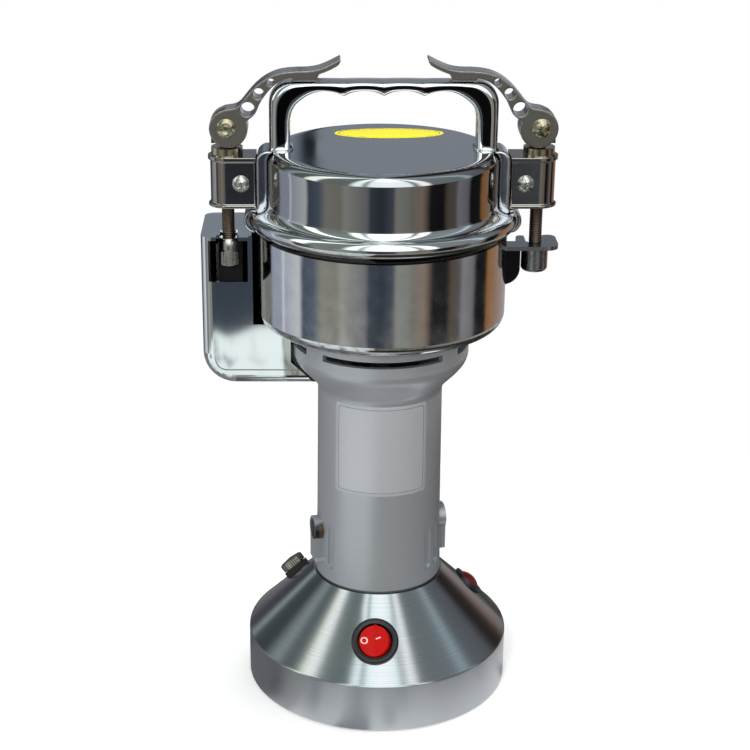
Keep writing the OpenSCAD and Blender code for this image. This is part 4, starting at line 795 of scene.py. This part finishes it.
# half a section, from the inside face round the front edge to the outside face: the distance from
# the inside and the place across
reach = [0 * thick] + [soft_in * (1 - math.cos(q)) for q in quarter]
cross_place = [0 * thick] + [-half_width + soft_in * (1 - math.sin(q)) for q in quarter]
reach += [low - 0.1, low + 0.1, (low + high) / 2, high - 0.1, high + 0.1]
cross_place += [0 * thick - depth for depth in (half_width, floor_half, floor_half, floor_half,
                                                half_width)]
reach += [thick - soft_out * (1 - math.sin(q)) for q in quarter] + [thick]
cross_place += [-half_width + soft_out * (1 - math.cos(q)) for q in quarter] + [0 * thick]
reach, cross_place = np.hstack(reach), np.hstack(cross_place)
reach = np.hstack([reach, reach[:, -2:0:-1]])
cross_place = np.hstack([cross_place, -cross_place[:, -2:0:-1]])
share = (reach / thick)[..., None]
flat = inside[:, None] * (1 - share) + outside[:, None] * share
cast_chrome, tree, shader = new_finish("chromed_zinc_casting", "#d8dbde", metallic=1.0,
                                       roughness=0.1)
noise = grain_bump(tree, shader, grain_mm=9.0, relief=0.25, depth_mm=0.3, detail=1.0)
drift_roughness(tree, shader, noise, 0.05, 0.12)
# the floor of the channel gets painted shade, brown-black; the attribute marks it
floor_mark = add_node(tree, "Attribute", {"attribute_name": "channel"})
drift_colour(tree, shader, floor_mark.outputs["Fac"],
             [(0.0, "#d8dbde"), (0.15, "#d8dbde"), (0.6, "#38322e")])
grip_bar = surface("grip_handle", np.stack([flat[..., 0], cross_place, flat[..., 1]], -1), "lid",
                   cast_chrome)
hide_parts("handle")
# the columns of a section that lie on the floor of the front and the back channel
in_channel = np.isin(np.arange(reach.shape[1]), (8, 9, 10, 26, 27, 28))
channel = np.zeros(len(grip_bar.data.vertices))
channel[:reach.size] = np.tile(in_channel, len(reach))
grip_bar.data.attributes.new("channel", "FLOAT", "POINT").data.foreach_set("value", channel)
foot = fill_in(round_corners(10.4, 13.0, corner=4.2, count=48), 8)
steps = [(0.96, -1.45), (1.0, 0.3), (0.97, 0.8), (0.9, 1.3), (0.8, 1.7)]
foot_x = 42.1
for side, name in ((1, "right"), (-1, "left")):
    bead = layers(foot, steps, lambda x, y, h: np.stack([x + side * foot_x, y, lid_top + h], -1))
    surface(f"handle_foot_{name}", bead, "lid", cast_chrome)

# Ears and sleeves: the ears are zinc castings under bright chrome, fixed to the lid. The sleeves
# round them are folded sheet under dark chrome, and carry the clamps.
dark_chrome = grained(
    "dark_chrome", "#a29e99", metallic=1.0, roughness=0.1, grain_mm=3.5, relief=0.12, depth_mm=0.05,
    gloss=(0.06, 0.14))
dress(dark_chrome, "sleeve_right", "sleeve_left")


def tumbled(name, node, body, finish, cell=0.28, passes=5):
    """A copy of a CAD node with its edges worn round, as a casting is after tumbling: the loose
    triangles are merged where they lie within 0.005 mm, rebuilt on a cubic grid of cell mm, and
    smoothed by moving each point half way to its neighbours' mean, in so many passes."""
    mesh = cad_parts[node].data.copy()
    piece = bpy.data.objects.new(name, mesh)
    scene.collection.objects.link(piece)
    weld = piece.modifiers.new("merge", "WELD")
    weld.merge_threshold = 0.000005
    rebuild = piece.modifiers.new("rebuild", "REMESH")
    rebuild.mode = "VOXEL"
    rebuild.voxel_size = cell / 1000
    wear = piece.modifiers.new("wear", "SMOOTH")
    wear.factor = 0.5
    wear.iterations = passes
    depsgraph = bpy.context.evaluated_depsgraph_get()
    made = bpy.data.meshes.new_from_object(piece.evaluated_get(depsgraph))
    piece.modifiers.clear()
    piece.data = made
    made.name = name
    made.materials.clear()
    made.materials.append(finish)
    made.shade_smooth()
    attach(piece, body)
    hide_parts(node)


ear_chrome = grained(
    "bright_cast_chrome", "#c4c6ca", metallic=1.0, roughness=0.1, grain_mm=6.0, relief=0.5,
    depth_mm=0.3, detail=1.0, gloss=(0.06, 0.14))
tumbled("cast_ears", "lid_ears", "lid", ear_chrome, cell=0.45, passes=16)
for name in ("right", "left"):
    tumbled(f"folded_sleeve_{name}", f"sleeve_{name}", "lid", dark_chrome, cell=0.26, passes=3)


# Sleeve screws: bright nickel-plated M3 screws, which hold each sleeve to its ear. They have a
# domed head with a cross recess in front and a plain hexagon nut behind.
def cross(across, up, reach, half):
    """Depth share of a cross recess: the greater of its two bars, which have half-width half and
    half-length reach."""
    wall = 0.15
    return np.maximum(cut_in(across, half, wall) * cut_in(up, reach, wall),
                      cut_in(up, half, wall) * cut_in(across, reach, wall))


def domed_head(name, at, facing, radius, ball, sink, recess, body, finish, columns=96):
    """A round head on a flat face at point at, facing -Y or +Y. Its dome is a cap of a sphere of
    radius ball whose centre lies sink below the face; recess(across, up) is cut into it, in mm."""
    t = np.linspace(0, 2 * math.pi, columns, endpoint=False)
    rings = np.concatenate([[radius, radius], np.linspace(radius, pole, 36)])
    across, up = rings[:, None] * np.cos(t), rings[:, None] * np.sin(t)
    height = np.maximum(np.sqrt(ball ** 2 - rings ** 2) - sink, 0.12)[:, None] - recess(across, up)
    # the rim goes straight up from inside the face
    height[0], height[1] = -0.2, 0.1
    points = np.stack([at[0] + across, at[1] + facing * height, at[2] + up], -1)
    return surface(name, points, body, finish)


def hexagon(angle):
    """How far a hexagon's side stands out beyond its inner circle, as a share of that circle."""
    return 1 / np.cos((angle + math.pi / 6) % (math.pi / 3) - math.pi / 6) - 1


def screw_cross(x, z):
    """A recess 0.9 mm deep, turned by 21 degrees."""
    return 0.9 * cross(x * 0.93 + z * 0.36, z * 0.93 - x * 0.36, reach=2.1, half=0.42)


screw_x, screw_z, nut_half = 58.4, 229.3, 2.77
shank = [(1.5, -7.1), (1.5, 9.2), (1.3, 9.4)]
hexagon_nut = [(nut_half, 7.0, 1), (nut_half, 8.9, 1), (nut_half, 9.2, 0.3)]
for side, name in ((1, "right"), (-1, "left")):
    middle = (side * screw_x, 0, screw_z)
    domed_head(f"sleeve_screw_head_{name}", (side * screw_x, -7, screw_z), -1,
                                  radius=3.5, ball=4.4, sink=2.6, recess=screw_cross, body="lid",
                                  finish=nickel)
    turned(f"sleeve_screw_shank_{name}", middle, shank, "lid", nickel, along_y=True)
    turned(f"sleeve_screw_nut_{name}", middle, hexagon_nut, "lid", nickel, columns=72,
           grip=lambda t: nut_half * hexagon(t), along_y=True)
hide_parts("sleeve_screws")

# Cam seats and hinge pins: turned from brass and nickel-plated, worn yellow where they rub. The
# right pin has a large cross recess, the left one a round socket.
worn_brass = grained(
    "worn_nickel_brass", "#b4aa90", metallic=1.0, roughness=0.2, grain_mm=0.5, relief=0.15,
    depth_mm=0.02, tones=("#9c9278", "#c4bca4"))
dress(worn_brass, "cam_seats")


def pin_cross(x, z):
    """A recess 1 mm deep, turned by 37 degrees."""
    return cross(x * 0.8 + z * 0.6, z * 0.8 - x * 0.6, reach=2.9, half=0.55)


def pin_socket(x, z):
    """A round recess 0.8 mm deep, whose wall slopes over 0.8 mm at a radius of 1.9 mm."""
    return 0.8 * cut_in(np.hypot(x, z), 1.9, wall=0.8)


def no_recess(x, z):
    """A plain head."""
    return 0 * x


rod_x, pin_z, face = 64.2, 252, 5.3
head = {"radius": 4.1, "ball": 6.1, "sink": 4.6, "finish": worn_brass}
for side, name, recess in ((1, "right", pin_cross), (-1, "left", pin_socket)):
    body, x = f"cam_lever_{name}", side * rod_x
    front = domed_head(f"pin_head_front_{name}", (x, -face, pin_z), -1, recess=recess, body=body,
                       **head)
    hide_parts(f"pin_{name}")
    domed_head(f"pin_head_back_{name}", (x, face, pin_z), 1, recess=no_recess, body=body,
               columns=48, **head)
    turned(f"pin_shank_{name}", (x, 0, pin_z), [(2.0, -5.4), (2.0, 5.4)], body, worn_brass,
           along_y=True)

# Clamp rods: steel rods with a rolled thread, browned by oil. Each hangs from a cam lever's pin and
# carries a clamp nut at its foot.
rod_steel = grained(
    "browned_rod_steel", "#6a5c52", metallic=1.0, roughness=0.34, grain_mm=0.5, relief=0.2,
    depth_mm=0.03, tones=("#544840", "#7c6e62"))
dress(rod_steel, "rod_right", "rod_left")


def thread(name, x, bottom, top, body):
    """A rolled thread over the rod: the radius is its mean plus the depth times the cosine of the
    turns along the rod, one each pitch, less the angle round it."""
    mean, depth, pitch = 2.58, 0.12, 0.8
    t = np.linspace(0, 2 * math.pi, 24, endpoint=False)
    z = np.arange(bottom, top, pitch / 8)[:, None]
    radius = mean + depth * np.cos(2 * math.pi * z / pitch - t)
    points = np.stack([x + radius * np.cos(t), radius * np.sin(t), z + 0 * t], -1)
    surface(name, points, body, rod_steel)


thread("thread_right", rod_x, 200.4, 220.5, "clamp_rod_right")
thread("thread_left", -rod_x, 204.4, 220.5, "clamp_rod_left")

# Clamp nuts: the right one is a plain steel barrel, the left one a nickel-plated barrel with a
# straight knurl below a smooth collar.
barrel_steel = grained(
    "satin_barrel_steel", "#98989a", metallic=1.0, roughness=0.26, grain_mm=1.6, relief=0.4,
    depth_mm=0.08, tones=("#848486", "#a8a8aa"))
tumbled("barrel_nut", "nut_right", "clamp_rod_right", barrel_steel, cell=0.25, passes=10)
nut_top, bore, knurl, teeth = 204.6, 2.56, 0.12, 36
profile = [(bore, -12.3, 0), (3.4, -12.3, 0), (4.05, -11.6, 0), (4.05, -11.2, 1), (4.05, -5.9, 1),
           (4.05, -5.6, 0), (3.6, -5.4, 0), (3.6, -5.1, 0), (4.0, -4.8, 0), (4.0, -0.4, 0),
           (3.7, 0, 0), (bore, 0, 0)]
nut = turned("knurled_nut", (-rod_x, 0, nut_top), profile, "clamp_rod_left", nickel, columns=144,
             grip=lambda t: knurl * np.cos(teeth * t), loop=True)
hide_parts("nut_left")

# Cam levers: steel castings tumbled smooth, gunmetal on their flanks, and every face round the rim
# is painted pale as a highlight. Each turns on its hinge pin.
lever_steel, tree, shader = new_finish("gunmetal_casting", "#56565a", metallic=1.0, roughness=0.34)
place = add_node(tree, "TexCoord")
facing = add_node(tree, "SeparateXYZ", links={0: place.outputs["Normal"]})
side = add_node(tree, "Math", {"operation": "ABSOLUTE"}, {0: facing.outputs["Y"]})
flank = add_node(tree, "MapRange", {"From Min": 0.55, "From Max": 0.95},
                 {"Value": side.outputs[0]}).outputs["Result"]
grain_bump(tree, shader, grain_mm=0.6, relief=0.2, depth_mm=0.03)
# painted highlight: faces that don't face front or back are pale
drift_colour(tree, shader, flank, [(0.0, "#d0d0cc"), (1.0, "#847f78")])
drift_roughness(tree, shader, flank, 0.18, 0.42, start=0.0, end=1.0)
for name in ("right", "left"):
    tumbled(f"cast_lever_{name}", f"lever_{name}", f"cam_lever_{name}", lever_steel)
